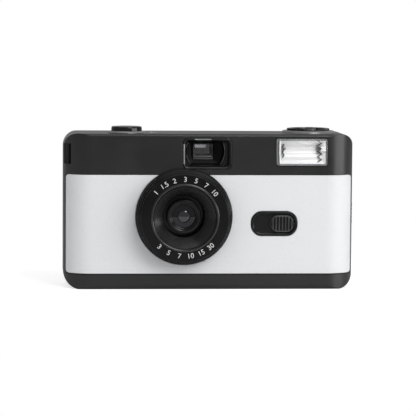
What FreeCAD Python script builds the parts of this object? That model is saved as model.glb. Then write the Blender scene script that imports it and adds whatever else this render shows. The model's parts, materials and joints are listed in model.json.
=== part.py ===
import FreeCAD, Part
import math
import os

import Sketcher
from FreeCAD import Placement, Rotation, Vector

# Compact 35 mm film camera with a built-in flash.
# The origin is on the underside, in the middle of the width and depth.
# +X is to the right seen from the front, +Y goes to the back, +Z is up. Millimetres.

doc = FreeCAD.newDocument("film_camera")

# Driving sizes: alias, value, what it measures
SIZES = [
    # Case
    ("body_width", 114.5, "case, left to right"),
    ("body_height", 61.0, "case, underside to top deck"),
    ("body_depth", 28.5, "case, front face to back face"),
    ("wall", 1.3, "case wall"),
    ("corner_round", 5.6, "case upper corners seen from the front"),
    ("foot_round", 6.8, "case lower corners seen from the front"),
    ("front_round", 11.0, "front upright edge seen from above"),
    ("back_round", 6.0, "back upright edge seen from above"),
    ("edge_round", 1.0, "long top edges"),
    ("foot_edge", 1.9, "long bottom edges"),
    ("seam_height", 45.0, "joint between top cover and lower case"),
    ("front_cover_depth", 8.0, "front cover, front face to its joint"),
    ("door_depth", 6.0, "back door, front edge to back face"),
    ("door_top", 53.2, "top edge of the back door"),
    ("door_gap", 0.2, "gap round the back door"),
    ("seam_gap", 0.05, "gap between fixed case parts"),
    ("past", 2.0, "how far a cutting shape runs past what it cuts"),
    # Front panel
    ("panel_in", 1.05, "front panel edge in from the side"),
    ("panel_bottom", 6.3, "lower edge of the front panel"),
    ("panel_thick", 0.6, "front panel thickness"),
    ("panel_round", 1.2, "front panel corners"),
    ("panel_gap", 0.1, "gap round the front panel"),
    # Lens
    ("lens_x", -10.2, "lens axis across"),
    ("lens_z", 28.7, "lens axis height"),
    ("ring_base_r", 18.95, "lens ring where it meets the panel"),
    ("ring_mid_r", 18.4, "lens ring at its step"),
    ("ring_face_r", 17.3, "lens ring face"),
    ("ring_proud", 7.5, "lens ring height above the case"),
    ("ring_step", 1.6, "depth of the step behind the ring face"),
    ("ring_groove", 0.35, "depth of the groove behind the step"),
    ("ring_skirt_r", 15.8, "lens ring skirt in the cover hole"),
    ("ring_skirt", 3.4, "lens ring skirt length behind the front face"),
    ("cone_mouth_r", 12.4, "cone opening at the face"),
    ("cone_throat_r", 8.0, "cone opening at its back"),
    ("cone_depth", 8.4, "cone depth"),
    ("cone_wall", 1.0, "cone wall"),
    ("cone_lip", 0.4, "bead round the cone mouth"),
    ("barrel_r", 6.8, "lens barrel outside"),
    ("barrel_set_back", 6.6, "lens barrel front behind the ring face"),
    ("barrel_bore_r", 5.15, "lens barrel bore"),
    ("barrel_flange_r", 9.5, "lens barrel flange"),
    ("barrel_flange", 1.2, "lens barrel flange thickness"),
    ("glass_r", 5.0, "front lens radius"),
    ("glass_thick", 2.6, "front lens thickness"),
    ("glass_curve", 11.0, "front lens surface radius"),
    ("retainer_r", 4.5, "clear opening of the lens retainer"),
    ("retainer_thick", 1.2, "lens retainer thickness"),
    ("stop_r", 1.7, "aperture radius"),
    ("leaf_thick", 0.4, "aperture stop and shutter blade thickness"),
    ("shutter_y", -6.4, "front face of the shutter plate"),
    ("shutter_thick", 1.5, "shutter plate thickness"),
    ("shutter_width", 34.0, "shutter plate width"),
    ("shutter_height", 28.0, "shutter plate height"),
    ("shutter_gap", 0.3, "air gap each side of the shutter blade"),
    ("blade_arm", 12.0, "shutter blade pivot to aperture"),
    ("blade_r", 3.6, "shutter blade radius over the aperture"),
    ("pin_r", 0.8, "small steel pins"),
    ("pin_gap", 0.05, "running clearance round pins and shafts"),
    ("rear_lens_r", 3.8, "rear lens radius"),
    ("rear_lens_thick", 1.8, "rear lens thickness"),
    # Film path
    ("film_y", 10.65, "film plane"),
    ("gate_width", 36.0, "picture width"),
    ("gate_height", 24.0, "picture height"),
    ("tunnel_wall", 2.0, "light tunnel wall at the picture"),
    ("tunnel_mouth", 15.0, "light tunnel opening behind the lens"),
    ("tunnel_front", -3.3, "front end of the light tunnel"),
    ("rail_plate", 1.3, "film rail plate thickness"),
    ("rail_bottom", 8.0, "film rail plate lower edge"),
    ("rail_top", 49.0, "film rail plate upper edge"),
    ("chamber_in", 17.25, "cartridge axis in from the right side"),
    ("chamber_y", 0.3, "cartridge axis in depth"),
    ("chamber_r", 12.7, "cartridge chamber radius"),
    ("chamber_wall", 0.5, "cartridge chamber wall in front"),
    ("chamber_side", 0.8, "chamber side walls and ceiling"),
    ("chamber_top", 52.6, "chamber ceiling underside"),
    ("spool_in", 13.75, "take-up spool axis in from the left side"),
    ("spool_y", 3.7, "take-up spool axis in depth"),
    ("spool_room_r", 9.2, "take-up chamber radius"),
    ("spool_r", 4.6, "take-up spool core"),
    ("spool_flange_r", 8.4, "take-up spool flanges"),
    ("spool_flange", 1.4, "take-up spool flange thickness"),
    ("wheel_r", 11.6, "advance wheel radius"),
    ("wheel_bottom", 54.2, "advance wheel underside"),
    ("wheel_thick", 3.2, "advance wheel thickness"),
    ("wheel_notches", 40, "notches round the advance wheel"),
    ("notch_depth", 0.55, "advance wheel notch depth"),
    ("notch_width", 0.9, "advance wheel notch width"),
    ("axle_r", 2.0, "spool and rewind shaft radius"),
    ("star_off", 17.0, "sprocket axis across from the spool axis"),
    ("star_r", 5.5, "sprocket wheel root radius"),
    ("star_tooth", 1.0, "sprocket tooth height"),
    ("star_teeth", 8, "sprocket teeth"),
    ("star_z", 43.7, "sprocket wheel underside"),
    ("star_thick", 1.0, "sprocket wheel thickness"),
    ("star_shaft_r", 1.5, "sprocket shaft radius"),
    ("star_shaft_top", 57.8, "sprocket shaft top"),
    ("cam_r", 2.6, "shutter cam radius"),
    ("cam_z", 50.2, "shutter cam underside"),
    ("cam_thick", 2.2, "shutter cam thickness"),
    ("dial_off", 22.5, "frame counter axis across from the spool axis"),
    ("dial_y", 5.0, "frame counter axis in depth"),
    ("dial_r", 7.6, "frame counter radius"),
    ("dial_thick", 0.8, "frame counter thickness"),
    ("dial_gap", 0.25, "frame counter below the deck"),
    ("counter_window_r", 2.6, "frame counter window"),
    # Viewfinder
    ("finder_left", -10.86, "finder recess left edge"),
    ("finder_right", 8.55, "finder recess right edge"),
    ("finder_bottom", 47.1, "finder recess lower edge"),
    ("finder_top", 59.4, "finder recess upper edge"),
    ("finder_round", 2.0, "finder recess corners"),
    ("finder_gap", 0.1, "gap round inserts in the top cover"),
    ("finder_rim", 0.7, "finder bezel rim"),
    ("finder_depth", 7.5, "finder funnel depth"),
    ("finder_axis_x", -2.6, "finder window centre across"),
    ("finder_axis_z", 54.2, "finder window centre height"),
    ("finder_window_w", 6.8, "finder window width"),
    ("finder_window_h", 4.9, "finder window height"),
    ("finder_glass", 1.4, "finder front lens thickness"),
    ("tube_wall", 1.0, "finder tube wall"),
    ("tube_width", 11.0, "finder tube width"),
    ("tube_bottom", 49.6, "finder tube underside"),
    ("eyepiece_z", 56.4, "eyepiece centre height"),
    ("eyepiece_w", 8.6, "eyepiece width"),
    ("eyepiece_h", 4.6, "eyepiece height"),
    ("eyepiece_thick", 1.8, "eyepiece lens thickness"),
    # Flash
    ("flash_width", 20.0, "flash window width"),
    ("flash_in", 11.25, "flash window right edge in from the right side"),
    ("flash_bottom", 48.6, "flash window lower edge"),
    ("flash_top", 59.3, "flash window upper edge"),
    ("flash_proud", 0.9, "flash window stands proud"),
    ("flash_shell", 0.8, "flash window wall"),
    ("flash_round", 0.8, "flash window corners"),
    ("dish_wall", 0.5, "reflector sheet"),
    ("dish_depth", 6.2, "reflector depth"),
    ("dish_throat", 4.2, "reflector height behind its lip"),
    ("dish_back", 3.0, "reflector height at its back"),
    ("dish_axis_z", 56.0, "reflector centre height behind its lip"),
    ("tube_r", 1.1, "flash tube radius"),
    # Electronics
    ("board_off", 7.9, "circuit board left edge from the battery axis"),
    ("board_width", 14.9, "circuit board width"),
    ("board_bottom", 8.6, "circuit board lower edge"),
    ("board_height", 38.0, "circuit board height"),
    ("board_thick", 0.8, "circuit board thickness"),
    ("board_set_back", 1.3, "circuit board behind the front wall"),
    ("cell_off", 21.2, "battery axis across from the cartridge axis"),
    ("cell_y", 0.9, "battery axis in depth"),
    ("cell_r", 5.25, "battery radius"),
    ("cell_length", 43.3, "battery can length"),
    ("cell_nub_r", 1.9, "battery nub radius"),
    ("cell_nub", 1.1, "battery nub height"),
    ("bay_gap", 0.2, "room round the battery"),
    ("bay_wall", 0.8, "battery bay wall"),
    ("contact_thick", 0.4, "battery contact strip"),
    ("cell_lift", 1.4, "room for the lower contact"),
    ("capacitor_r", 4.9, "flash capacitor radius"),
    ("capacitor_length", 18.2, "flash capacitor length"),
    ("capacitor_y", -8.0, "flash capacitor front end"),
    ("capacitor_z", 54.3, "flash capacitor height"),
    ("coil_width", 8.0, "flash transformer width"),
    ("coil_height", 9.0, "flash transformer height"),
    ("coil_depth", 4.8, "flash transformer depth"),
    ("lamp_r", 1.5, "ready lamp radius"),
    ("lamp_x", 8.6, "ready lamp across"),
    ("lamp_z", 56.6, "ready lamp height"),
    ("battery_door_w", 13.6, "battery door width"),
    ("battery_door_l", 12.0, "battery door length"),
    ("battery_door_y", -5.0, "battery door front edge"),
    ("door_stub_r", 0.3, "battery door hinge stub radius"),
    ("door_stub", 0.8, "battery door hinge stub length"),
    # Flash switch
    ("switch_width", 18.3, "switch bezel width"),
    ("switch_off", 5.6, "switch bezel right edge from the cartridge axis"),
    ("switch_bottom", 21.07, "switch bezel lower edge"),
    ("switch_top", 30.83, "switch bezel upper edge"),
    ("switch_rim", 1.25, "switch bezel rim width"),
    ("switch_round", 4.4, "switch bezel corners"),
    ("switch_recess", 0.75, "switch floor behind the front face"),
    ("switch_floor", 0.5, "switch floor thickness"),
    ("switch_proud", 0.25, "switch rim stands proud of the panel"),
    ("knob_width", 9.3, "switch knob width"),
    ("knob_height", 6.6, "switch knob height"),
    ("knob_proud", 1.3, "switch knob stands proud of the front face"),
    ("knob_ribs", 7, "ribs on the switch knob"),
    ("rib_pitch", 1.22, "switch knob rib pitch"),
    ("rib_depth", 0.55, "switch knob rib depth"),
    ("knob_gap", 0.1, "clearance round the switch knob"),
    ("knob_travel", 5.9, "switch knob travel"),
    ("stem_half", 1.0, "half of the switch knob stem, across"),
    ("apron_thick", 0.3, "thin apron behind the switch floor that covers its slot"),
    ("apron_height", 3.2, "apron height"),
    # Top deck
    ("button_in", 24.85, "shutter button axis in from the left side"),
    ("button_y", -5.0, "shutter button in depth"),
    ("button_r", 6.0, "shutter button radius"),
    ("button_proud", 2.6, "shutter button above the deck"),
    ("button_travel", 1.2, "shutter button travel"),
    ("button_flange_r", 6.7, "shutter button flange"),
    ("button_flange", 0.7, "shutter button flange thickness"),
    ("button_stem_r", 1.0, "shutter button stem"),
    ("button_stem_low", 55.35, "shutter button stem tip"),
    ("guide_gap", 0.35, "button guide shelf above the stem tip"),
    ("guide_thick", 0.8, "button guide shelf thickness"),
    ("guide_reach", 5.2, "button guide shelf reach from the button axis"),
    ("guide_post", 2.8, "button guide post width"),
    ("guide_front", 4.0, "button guide front edge from the button axis"),
    ("lever_thick", 1.2, "release lever bar thickness"),
    ("lever_depth", 3.1, "release lever bar depth"),
    ("lever_gap", 0.25, "stem tip above the release lever"),
    ("lever_reach", 9.4, "release lever reach past its pivot"),
    ("lever_leg", 1.6, "release lever leg thickness"),
    ("lever_offset", 5.4, "release lever pivot from the middle of button and sprocket"),
    ("lever_low", 3.0, "release lever leg end above the shutter plate"),
    ("collar_r", 7.5, "button collar radius"),
    ("collar_high", 0.8, "button collar above the deck"),
    ("platform_r", 10.4, "rewind platform radius"),
    ("platform_high", 0.55, "rewind platform above the deck"),
    ("disc_r", 8.4, "rewind disc radius"),
    ("disc_thick", 1.2, "rewind disc thickness"),
    ("disc_gap", 0.15, "rewind disc above its platform"),
    ("bush_r", 3.6, "rewind bush radius"),
    ("fork_low", 46.5, "rewind fork lower end"),
    ("rewind_lift", 6.6, "rewind shaft lift"),
    ("arm_width", 4.8, "rewind crank arm width"),
    ("arm_length", 14.6, "rewind crank arm length"),
    ("arm_thick", 0.7, "rewind crank arm thickness"),
    ("handle_r", 2.0, "rewind handle radius"),
    ("handle_high", 0.6, "rewind handle above the arm"),
    # Back door, hinge and latch
    ("hinge_in", 3.85, "hinge pin in from the side"),
    ("hinge_back", 1.7, "hinge pin in from the back face"),
    ("knuckle_r", 1.7, "hinge knuckle radius"),
    ("knuckle_low", 5.0, "lowest hinge knuckle height"),
    ("knuckle_length", 8.0, "hinge knuckle length"),
    ("knuckle_gap", 28.0, "distance between the two hinges"),
    ("plate_width", 42.0, "pressure plate width"),
    ("plate_height", 29.0, "pressure plate height"),
    ("plate_thick", 0.8, "pressure plate thickness"),
    ("plate_gap", 0.3, "film channel behind the rails"),
    ("spring_thick", 0.3, "leaf spring thickness"),
    ("spring_width", 6.0, "pressure spring width"),
    ("spring_top", 2.0, "half of the pressure spring crown, across"),
    ("spring_foot", 4.0, "pressure spring foot length"),
    ("spring_in", 6.5, "pressure spring end in from the plate edge"),
    ("seat_high", 0.4, "spring seat height on the door"),
    ("seat_rim", 1.0, "spring seat beyond the spring"),
    ("peg_in", 3.0, "plate peg in from the plate edge"),
    ("window_w", 7.0, "film window width"),
    ("window_h", 22.0, "film window height"),
    ("window_z", 30.0, "film window centre height"),
    ("latch_z", 29.0, "latch centre height"),
    ("latch_height", 18.0, "latch bar height"),
    ("latch_thick", 1.3, "latch bar thickness"),
    ("latch_knob_h", 8.0, "latch knob height"),
    ("latch_knob_d", 5.4, "latch knob depth"),
    ("latch_proud", 0.7, "latch knob stands proud of the side"),
    ("latch_travel", 3.5, "latch travel"),
    ("latch_ahead", 5.4, "latch centre in front of the door"),
    ("latch_reach", 1.2, "latch bar beyond its knob"),
    ("latch_side", 0.4, "latch bar clear of the chamber wall"),
    ("latch_spring_rest", 1.6, "latch spring length when pressed home"),
    ("keeper_depth", 1.4, "keeper thickness, front to back"),
    ("keeper_in", 1.0, "keeper root behind the door edge"),
    # Strap bar, underside and screws
    ("strap_z", 53.0, "strap bar centre height"),
    ("strap_height", 8.0, "strap recess height"),
    ("strap_depth", 5.0, "strap recess front to back"),
    ("strap_in", 3.9, "strap recess depth"),
    ("strap_y", -8.2, "strap recess centre in depth"),
    ("strap_bar_r", 0.9, "strap bar radius"),
    ("strap_set_in", 1.3, "strap bar surface in from the side"),
    ("screw_apart", 12.0, "case screws beside the spool and lens axes, twice the distance"),
    ("screw_r", 1.0, "case screw radius"),
    ("screw_head_r", 1.9, "case screw head radius"),
    ("screw_head", 0.9, "case screw head thickness"),
    ("screw_length", 6.0, "case screw length"),
    ("release_in", 26.65, "rewind release in from the left side"),
    ("release_y", 3.5, "rewind release in depth"),
    ("release_r", 1.5, "rewind release button radius"),
    ("release_travel", 1.0, "rewind release travel"),
    ("release_flange", 0.7, "rewind release flange beyond the button"),
]


class Size:
    """A length in mm together with the sheet formula that it comes from."""

    def __init__(self, value, formula=None):
        self.value = float(value)
        self.formula = formula or repr(self.value)

    def __float__(self):
        return self.value

    def __neg__(self):
        return Size(-self.value, f"(-{self.formula})")

    def __add__(self, other):
        other = as_size(other)
        return Size(self.value + other.value, f"({self.formula} + {other.formula})")

    def __sub__(self, other):
        other = as_size(other)
        return Size(self.value - other.value, f"({self.formula} - {other.formula})")

    def __mul__(self, other):
        other = as_size(other)
        return Size(self.value * other.value, f"({self.formula} * {other.formula})")

    def __truediv__(self, other):
        other = as_size(other)
        return Size(self.value / other.value, f"({self.formula} / {other.formula})")

    def __radd__(self, other):
        return as_size(other) + self

    def __rsub__(self, other):
        return as_size(other) - self

    def __rmul__(self, other):
        return as_size(other) * self


class Sheet:
    """The spreadsheet of driving sizes, read as named values."""

    def __init__(self, rows):
        cells = doc.addObject("Spreadsheet::Sheet", "Sizes")
        for number, (alias, value, note) in enumerate(rows, start=1):
            cells.set(f"A{number}", note)
            cells.set(f"B{number}", str(value))
            cells.setAlias(f"B{number}", alias)
            setattr(self, alias, Size(value, f"Sizes.{alias}"))


def as_size(value):
    return value if isinstance(value, Size) else Size(value)


def sine(degrees):
    return math.sin(math.radians(degrees))


def cosine(degrees):
    return math.cos(math.radians(degrees))


s = Sheet(SIZES)
doc.recompute()
made = {}


# Small helpers: every length is bound to the sheet by its formula

def bind(item, name, value):
    value = as_size(value)
    setattr(item, name, value.value)
    item.setExpression(name, value.formula)


def place(item, x, y, z, axis=(0, 0, 1), angle=0):
    """Moves an object to a point, turned about one axis."""
    x, y, z = as_size(x), as_size(y), as_size(z)
    item.Placement = Placement(Vector(x.value, y.value, z.value), Rotation(Vector(*axis), angle))
    item.setExpression("Placement.Base.x", x.formula)
    item.setExpression("Placement.Base.y", y.formula)
    item.setExpression("Placement.Base.z", z.formula)
    return item


def keep(name, item):
    """Gives a finished sub-part its name."""
    item.Label = name
    made[name] = item
    return item


def box(name, x, y, z):
    item = doc.addObject("Part::Box", name)
    bind(item, "Length", as_size(x[1]) - x[0])
    bind(item, "Width", as_size(y[1]) - y[0])
    bind(item, "Height", as_size(z[1]) - z[0])
    return place(item, x[0], y[0], z[0])


def rod(name, axis, at, radius, span):
    """A cylinder along x, y or z; at gives its other two coordinates in x, y, z order."""
    item = doc.addObject("Part::Cylinder", name)
    bind(item, "Radius", radius)
    bind(item, "Height", as_size(span[1]) - span[0])
    if axis == "x":
        return place(item, span[0], at[0], at[1], (0, 1, 0), 90)
    if axis == "y":
        return place(item, at[0], span[0], at[1], (1, 0, 0), -90)
    return place(item, at[0], at[1], span[0])


def ball(name, x, y, z, radius):
    item = doc.addObject("Part::Sphere", name)
    bind(item, "Radius", radius)
    return place(item, x, y, z)


def cut(name, base, *tools):
    tool = tools[0] if len(tools) == 1 else fuse(name + "_tools", *tools)
    item = doc.addObject("Part::Cut", name)
    item.Base = base
    item.Tool = tool
    return item


def fuse(name, *shapes):
    item = doc.addObject("Part::MultiFuse", name)
    item.Shapes = list(shapes)
    return item


def common(name, *shapes):
    item = doc.addObject("Part::MultiCommon", name)
    item.Shapes = list(shapes)
    return item


def pin_value(sketch, kind, edge, point, value):
    """Fixes one coordinate of a sketch point to a size."""
    value = as_size(value)
    if value.value == 0:
        sketch.addConstraint(Sketcher.Constraint("PointOnObject", edge, point,
                                                 -2 if kind == "DistanceX" else -1))
        return
    number = sketch.addConstraint(Sketcher.Constraint(kind, edge, point, value.value))
    sketch.setExpression(f"Constraints[{number}]", value.formula)


def new_sketch(body, role, at=0):
    """A sketch on one of the body's own planes, moved along the axis across it to the place at."""
    plane = [item for item in body.Origin.OriginFeatures if item.Role == role][0]
    sketch = body.newObject("Sketcher::SketchObject", body.Name + "_sketch")
    sketch.AttachmentSupport = [(plane, "")]
    sketch.MapMode = "FlatFace"
    shift = -as_size(at) if role == "XZ_Plane" else as_size(at)
    sketch.setExpression("AttachmentOffset.Base.z", shift.formula)
    return sketch


def draw_outline(sketch, points):
    """A closed outline of straight lines through the points."""
    count = len(points)
    corners = [Vector(float(a), float(b), 0) for a, b in points]
    first = sketch.GeometryCount
    for i in range(count):
        sketch.addGeometry(Part.LineSegment(corners[i], corners[(i + 1) % count]), False)
    for i in range(count):
        sketch.addConstraint(Sketcher.Constraint("Coincident", first + i, 2, first + (i + 1) % count, 1))
    for i, (a, b) in enumerate(points):
        pin_value(sketch, "DistanceX", first + i, 1, a)
        pin_value(sketch, "DistanceY", first + i, 1, b)


def draw_rounded(sketch, a, b, radii):
    """A rectangle with a radius at each corner, from the low corner anticlockwise."""
    lo_a, hi_a = as_size(a[0]), as_size(a[1])
    lo_b, hi_b = as_size(b[0]), as_size(b[1])
    r = [as_size(value) for value in radii]
    lines = [
        ((lo_a + r[0], lo_b), (hi_a - r[1], lo_b)),
        ((hi_a, lo_b + r[1]), (hi_a, hi_b - r[2])),
        ((hi_a - r[2], hi_b), (lo_a + r[3], hi_b)),
        ((lo_a, hi_b - r[3]), (lo_a, lo_b + r[0])),
    ]
    centres = [
        (hi_a - r[1], lo_b + r[1], r[1], -90),
        (hi_a - r[2], hi_b - r[2], r[2], 0),
        (lo_a + r[3], hi_b - r[3], r[3], 90),
        (lo_a + r[0], lo_b + r[0], r[0], 180),
    ]
    for start, end in lines:
        ends = [Vector(float(p[0]), float(p[1]), 0) for p in (start, end)]
        sketch.addGeometry(Part.LineSegment(*ends), False)
    for x, y, radius, angle in centres:
        circle = Part.Circle(Vector(float(x), float(y), 0), Vector(0, 0, 1), float(radius))
        arc = Part.ArcOfCircle(circle, math.radians(angle), math.radians(angle + 90))
        sketch.addGeometry(arc, False)
    for i in range(4):
        sketch.addConstraint(Sketcher.Constraint("Tangent", i, 2, 4 + i, 1))
        sketch.addConstraint(Sketcher.Constraint("Tangent", 4 + i, 2, (i + 1) % 4, 1))
    for i, kind in enumerate(("Horizontal", "Vertical", "Horizontal", "Vertical")):
        sketch.addConstraint(Sketcher.Constraint(kind, i))
    pin_value(sketch, "DistanceY", 0, 1, lo_b)
    pin_value(sketch, "DistanceX", 1, 1, hi_a)
    pin_value(sketch, "DistanceY", 2, 1, hi_b)
    pin_value(sketch, "DistanceX", 3, 1, lo_a)
    for i, radius in enumerate((r[1], r[2], r[3], r[0])):
        number = sketch.addConstraint(Sketcher.Constraint("Radius", 4 + i, radius.value))
        sketch.setExpression(f"Constraints[{number}]", radius.formula)


def pad(body, sketch, length):
    """Thickens a sketch towards the high end of the axis across it."""
    item = body.newObject("PartDesign::Pad", body.Name + "_pad")
    item.Profile = sketch
    bind(item, "Length", length)
    item.Reversed = sketch.AttachmentSupport[0][0].Role == "XZ_Plane"
    return item


def plate(name, role, span, outline, radii=None):
    """A body with one padded outline: points, or two ranges with corner radii."""
    body = doc.addObject("PartDesign::Body", name)
    sketch = new_sketch(body, role, span[0])
    if radii is None:
        draw_outline(sketch, outline)
    elif isinstance(radii, (tuple, list)):
        draw_rounded(sketch, outline[0], outline[1], radii)
    else:
        draw_rounded(sketch, outline[0], outline[1], [radii] * 4)
    pad(body, sketch, as_size(span[1]) - span[0])
    return body


def turned(name, axis, at, profile):
    """A body turned about an axis; the profile gives radius and place along the axis."""
    body = doc.addObject("PartDesign::Body", name)
    sketch = new_sketch(body, "XZ_Plane")
    draw_outline(sketch, profile)
    item = body.newObject("PartDesign::Revolution", name + "_turned")
    item.Profile = sketch
    item.ReferenceAxis = (sketch, ["V_Axis"])
    item.Angle = 360
    if axis == "y":
        return place(body, at[0], 0, at[1], (1, 0, 0), -90)
    if axis == "x":
        return place(body, 0, at[0], at[1], (0, 1, 0), 90)
    return place(body, at[0], at[1], 0)


def tube(name, axis, at, outer, inner, span):
    return turned(name, axis, at, [(inner, span[0]), (outer, span[0]), (outer, span[1]), (inner, span[1])])


def frustum(name, y, front, back):
    """A four-sided taper along y; front and back are ((x low, x high), (z low, z high))."""
    item = doc.addObject("Part::Wedge", name)
    bind(item, "Ymin", y[0])
    bind(item, "Ymax", y[1])
    for letter, index in (("X", 0), ("Z", 1)):
        bind(item, f"{letter}min", front[index][0])
        bind(item, f"{letter}max", front[index][1])
        bind(item, f"{letter}2min", back[index][0])
        bind(item, f"{letter}2max", back[index][1])
    return item


# Places worked out from the driving sizes
side = s.body_width / 2
front = -s.body_depth / 2
back = s.body_depth / 2
inner_side = side - s.wall
inner_front = front + s.wall
inner_back = back - s.wall
deck_under = s.body_height - s.wall
cover_back = front + s.front_cover_depth
door_front = back - s.door_depth
hinge_x = s.hinge_in - side
hinge_y = back - s.hinge_back
column_x = hinge_x - s.knuckle_r - s.door_gap
spool_x = s.spool_in - side
chamber_x = side - s.chamber_in
star_x = spool_x + s.star_off
dial_x = spool_x + s.dial_off
cell_x = chamber_x - s.cell_off
button_x = s.button_in - side
release_x = s.release_in - side
switch_right = chamber_x - s.switch_off
switch_left = switch_right - s.switch_width
flash_right = side - s.flash_in
flash_left = flash_right - s.flash_width
lens_at = (s.lens_x, s.lens_z)
face_y = front - s.ring_proud
spool_at = (spool_x, s.spool_y)
rewind_at = (chamber_x, s.chamber_y)
button_at = (button_x, s.button_y)
star_y = s.film_y - s.star_r - s.star_tooth / 2
star_at = (star_x, star_y)
far = s.body_width
EVERY_X = (-far, far)
EVERY_Y = (-far, far)
EVERY_Z = (-far, far)


def case_solid(name, inset, rounded_edges=True):
    """The outer form of the case, made smaller all round by the inset."""
    low, high = inset, s.body_height - inset
    foot, corner = s.foot_round - inset, s.corner_round - inset
    seen_front = plate(name + "_front", "XZ_Plane", (front + inset, back - inset),
                       ((inset - side, side - inset), (low, high)), (foot, foot, corner, corner))
    seen_above = plate(name + "_plan", "XY_Plane", (-s.past, s.body_height + s.past),
                       ((inset - side, side - inset), (front + inset, back - inset)),
                       (s.front_round - inset, s.front_round - inset, s.back_round - inset,
                        s.back_round - inset))
    if not rounded_edges:
        return common(name, seen_front, seen_above)
    seen_side = plate(name + "_side", "YZ_Plane", (-far, far),
                      ((front + inset, back - inset), (low, high)),
                      (s.foot_edge, s.foot_edge, s.edge_round, s.edge_round))
    return common(name, seen_front, seen_above, seen_side)


# Case

def panel_zone(name, gap):
    """The skin of the case under the front panel, gap larger all round."""
    half = side - s.panel_in + gap
    window = plate(name + "_outline", "XZ_Plane", (front - s.past, s.tunnel_front),
                   ((-half, half), (s.panel_bottom - gap, s.seam_height - s.panel_gap + gap)), s.panel_round)
    skin = common(name + "_block", case_solid(name + "_case", 0), window)
    return cut(name, skin, case_solid(name + "_inner", s.panel_thick, False))


def switch_outline(name, gap, y):
    return plate(name, "XZ_Plane", y, ((switch_left - gap, switch_right + gap),
                                       (s.switch_bottom - gap, s.switch_top + gap)), s.switch_round)


def make_front_panel():
    hole = rod("panel_lens_hole", "y", lens_at, s.ring_base_r + s.panel_gap, (front - s.past, 0))
    switch_hole = switch_outline("panel_switch_hole", s.panel_gap, (front - s.past, 0))
    keep("front_panel", cut("front_panel", panel_zone("panel_zone", 0), hole, switch_hole))


def make_front_cover():
    zone = box("front_zone", EVERY_X, (front - s.past, cover_back), (-s.past, s.seam_height - s.seam_gap))
    outer = common("front_block", case_solid("front_case", 0), zone)
    lens_hole = rod("cover_lens_hole", "y", lens_at, s.ring_skirt_r + s.seam_gap, (front - s.past, 0))
    switch_hole = switch_outline("cover_switch_hole", s.seam_gap, (front - s.past, 0))
    keep("front_cover", cut("front_cover", outer, case_solid("front_hollow", s.wall, False),
                            panel_zone("panel_seat", s.seam_gap), lens_hole, switch_hole,
                            screw_holes("cover_screw")))


def make_top_cover():
    zone = box("top_zone", EVERY_X, EVERY_Y, (s.seam_height, far))
    outer = common("top_block", case_solid("top_case", 0), zone)
    door_way = box("door_way", (column_x, far), (door_front, far), (0, s.door_top))
    finder = plate("finder_hole", "XZ_Plane", (front - s.past, inner_front + s.past),
                   ((s.finder_left, s.finder_right), (s.finder_bottom, s.finder_top)), s.finder_round)
    flash = plate("flash_hole", "XZ_Plane", (front - s.past, inner_front + s.past),
                  ((flash_left, flash_right), (s.flash_bottom, s.flash_top)), s.flash_round)
    lens = rod("top_lens_hole", "y", lens_at, s.ring_skirt_r + s.seam_gap, (front - s.past, 0))
    button = rod("button_hole", "z", button_at, s.button_r + s.pin_gap, (deck_under - s.past, far))
    rewind = rod("rewind_hole", "z", rewind_at, s.bush_r + s.pin_gap, (deck_under - s.past, far))
    counter = rod("counter_hole", "z", counter_window_at, s.counter_window_r + s.seam_gap,
                  (deck_under - s.past, far))
    wheel = rod("wheel_slot", "z", spool_at, s.wheel_r + s.door_gap + s.door_gap,
                (s.wheel_bottom - s.door_gap, s.wheel_bottom + s.wheel_thick + s.door_gap))
    wheel_slot = common("wheel_opening", wheel,
                        box("wheel_back", EVERY_X, (inner_back - s.past, far), EVERY_Z))
    eyepiece = eyepiece_block("eyepiece_hole", s.seam_gap, (inner_back - s.past, far))
    lamp = rod("lamp_hole", "y", (s.lamp_x, s.lamp_z), s.lamp_r + s.seam_gap, (inner_back - s.past, far))
    shell = cut("top_shell", outer, case_solid("top_hollow", s.wall, False), door_way, finder, flash, lens,
                button, rewind, counter, wheel_slot, eyepiece, lamp)
    cup = common("strap_cup", case_solid("strap_case", 0),
                 box("strap_block", (-far, s.strap_in + s.wall - side), strap_range(s.wall),
                     strap_heights(s.wall)))
    hollow = box("strap_hollow", (-far, s.strap_in - side), strap_range(0), strap_heights(0))
    platform = rod("rewind_platform", "z", rewind_at, s.platform_r,
                   (deck_under, s.body_height + s.platform_high))
    platform_hole = rod("platform_hole", "z", rewind_at, s.bush_r + s.pin_gap, (deck_under - s.past, far))
    bar_hole = rod("strap_bar_hole", "z", strap_bar_at, s.strap_bar_r + s.seam_gap, strap_bar_span)
    keep("top_cover", cut("top_cover", fuse("top_solid", shell, cup, platform), hollow, platform_hole,
                          bar_hole))


def strap_range(grow):
    half = s.strap_depth / 2 + grow
    return (s.strap_y - half, s.strap_y + half)


def strap_heights(grow):
    half = s.strap_height / 2 + grow
    return (s.strap_z - half, s.strap_z + half)


strap_bar_at = (s.strap_bar_r + s.strap_set_in - side, s.strap_y)
strap_bar_span = (s.strap_z - s.strap_height / 2 - s.wall / 2, s.strap_z + s.strap_height / 2 + s.wall / 2)
counter_window_at = (dial_x, s.dial_y - s.dial_r + s.counter_window_r + s.wall)


def make_strap_bar():
    low, high = strap_bar_span
    keep("strap_bar", rod("strap_bar", "z", strap_bar_at, s.strap_bar_r,
                          (low + s.seam_gap, high - s.seam_gap)))


# Case screws, through the underside into bosses of the main body
def screw_places():
    y = front + s.front_cover_depth / 2
    return [(spool_x + s.screw_apart / 2, y), (s.lens_x + s.screw_apart / 2, y), (cell_x, y)]


def screw_holes(name):
    holes = []
    for number, at in enumerate(screw_places()):
        holes.append(rod(f"{name}_hole_{number}", "z", at, s.screw_r + s.seam_gap,
                         (-s.past, s.screw_length + s.past)))
        holes.append(rod(f"{name}_sink_{number}", "z", at, s.screw_head_r + s.seam_gap,
                         (-s.past, s.screw_head)))
    return fuse(name + "_holes", *holes)


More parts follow.
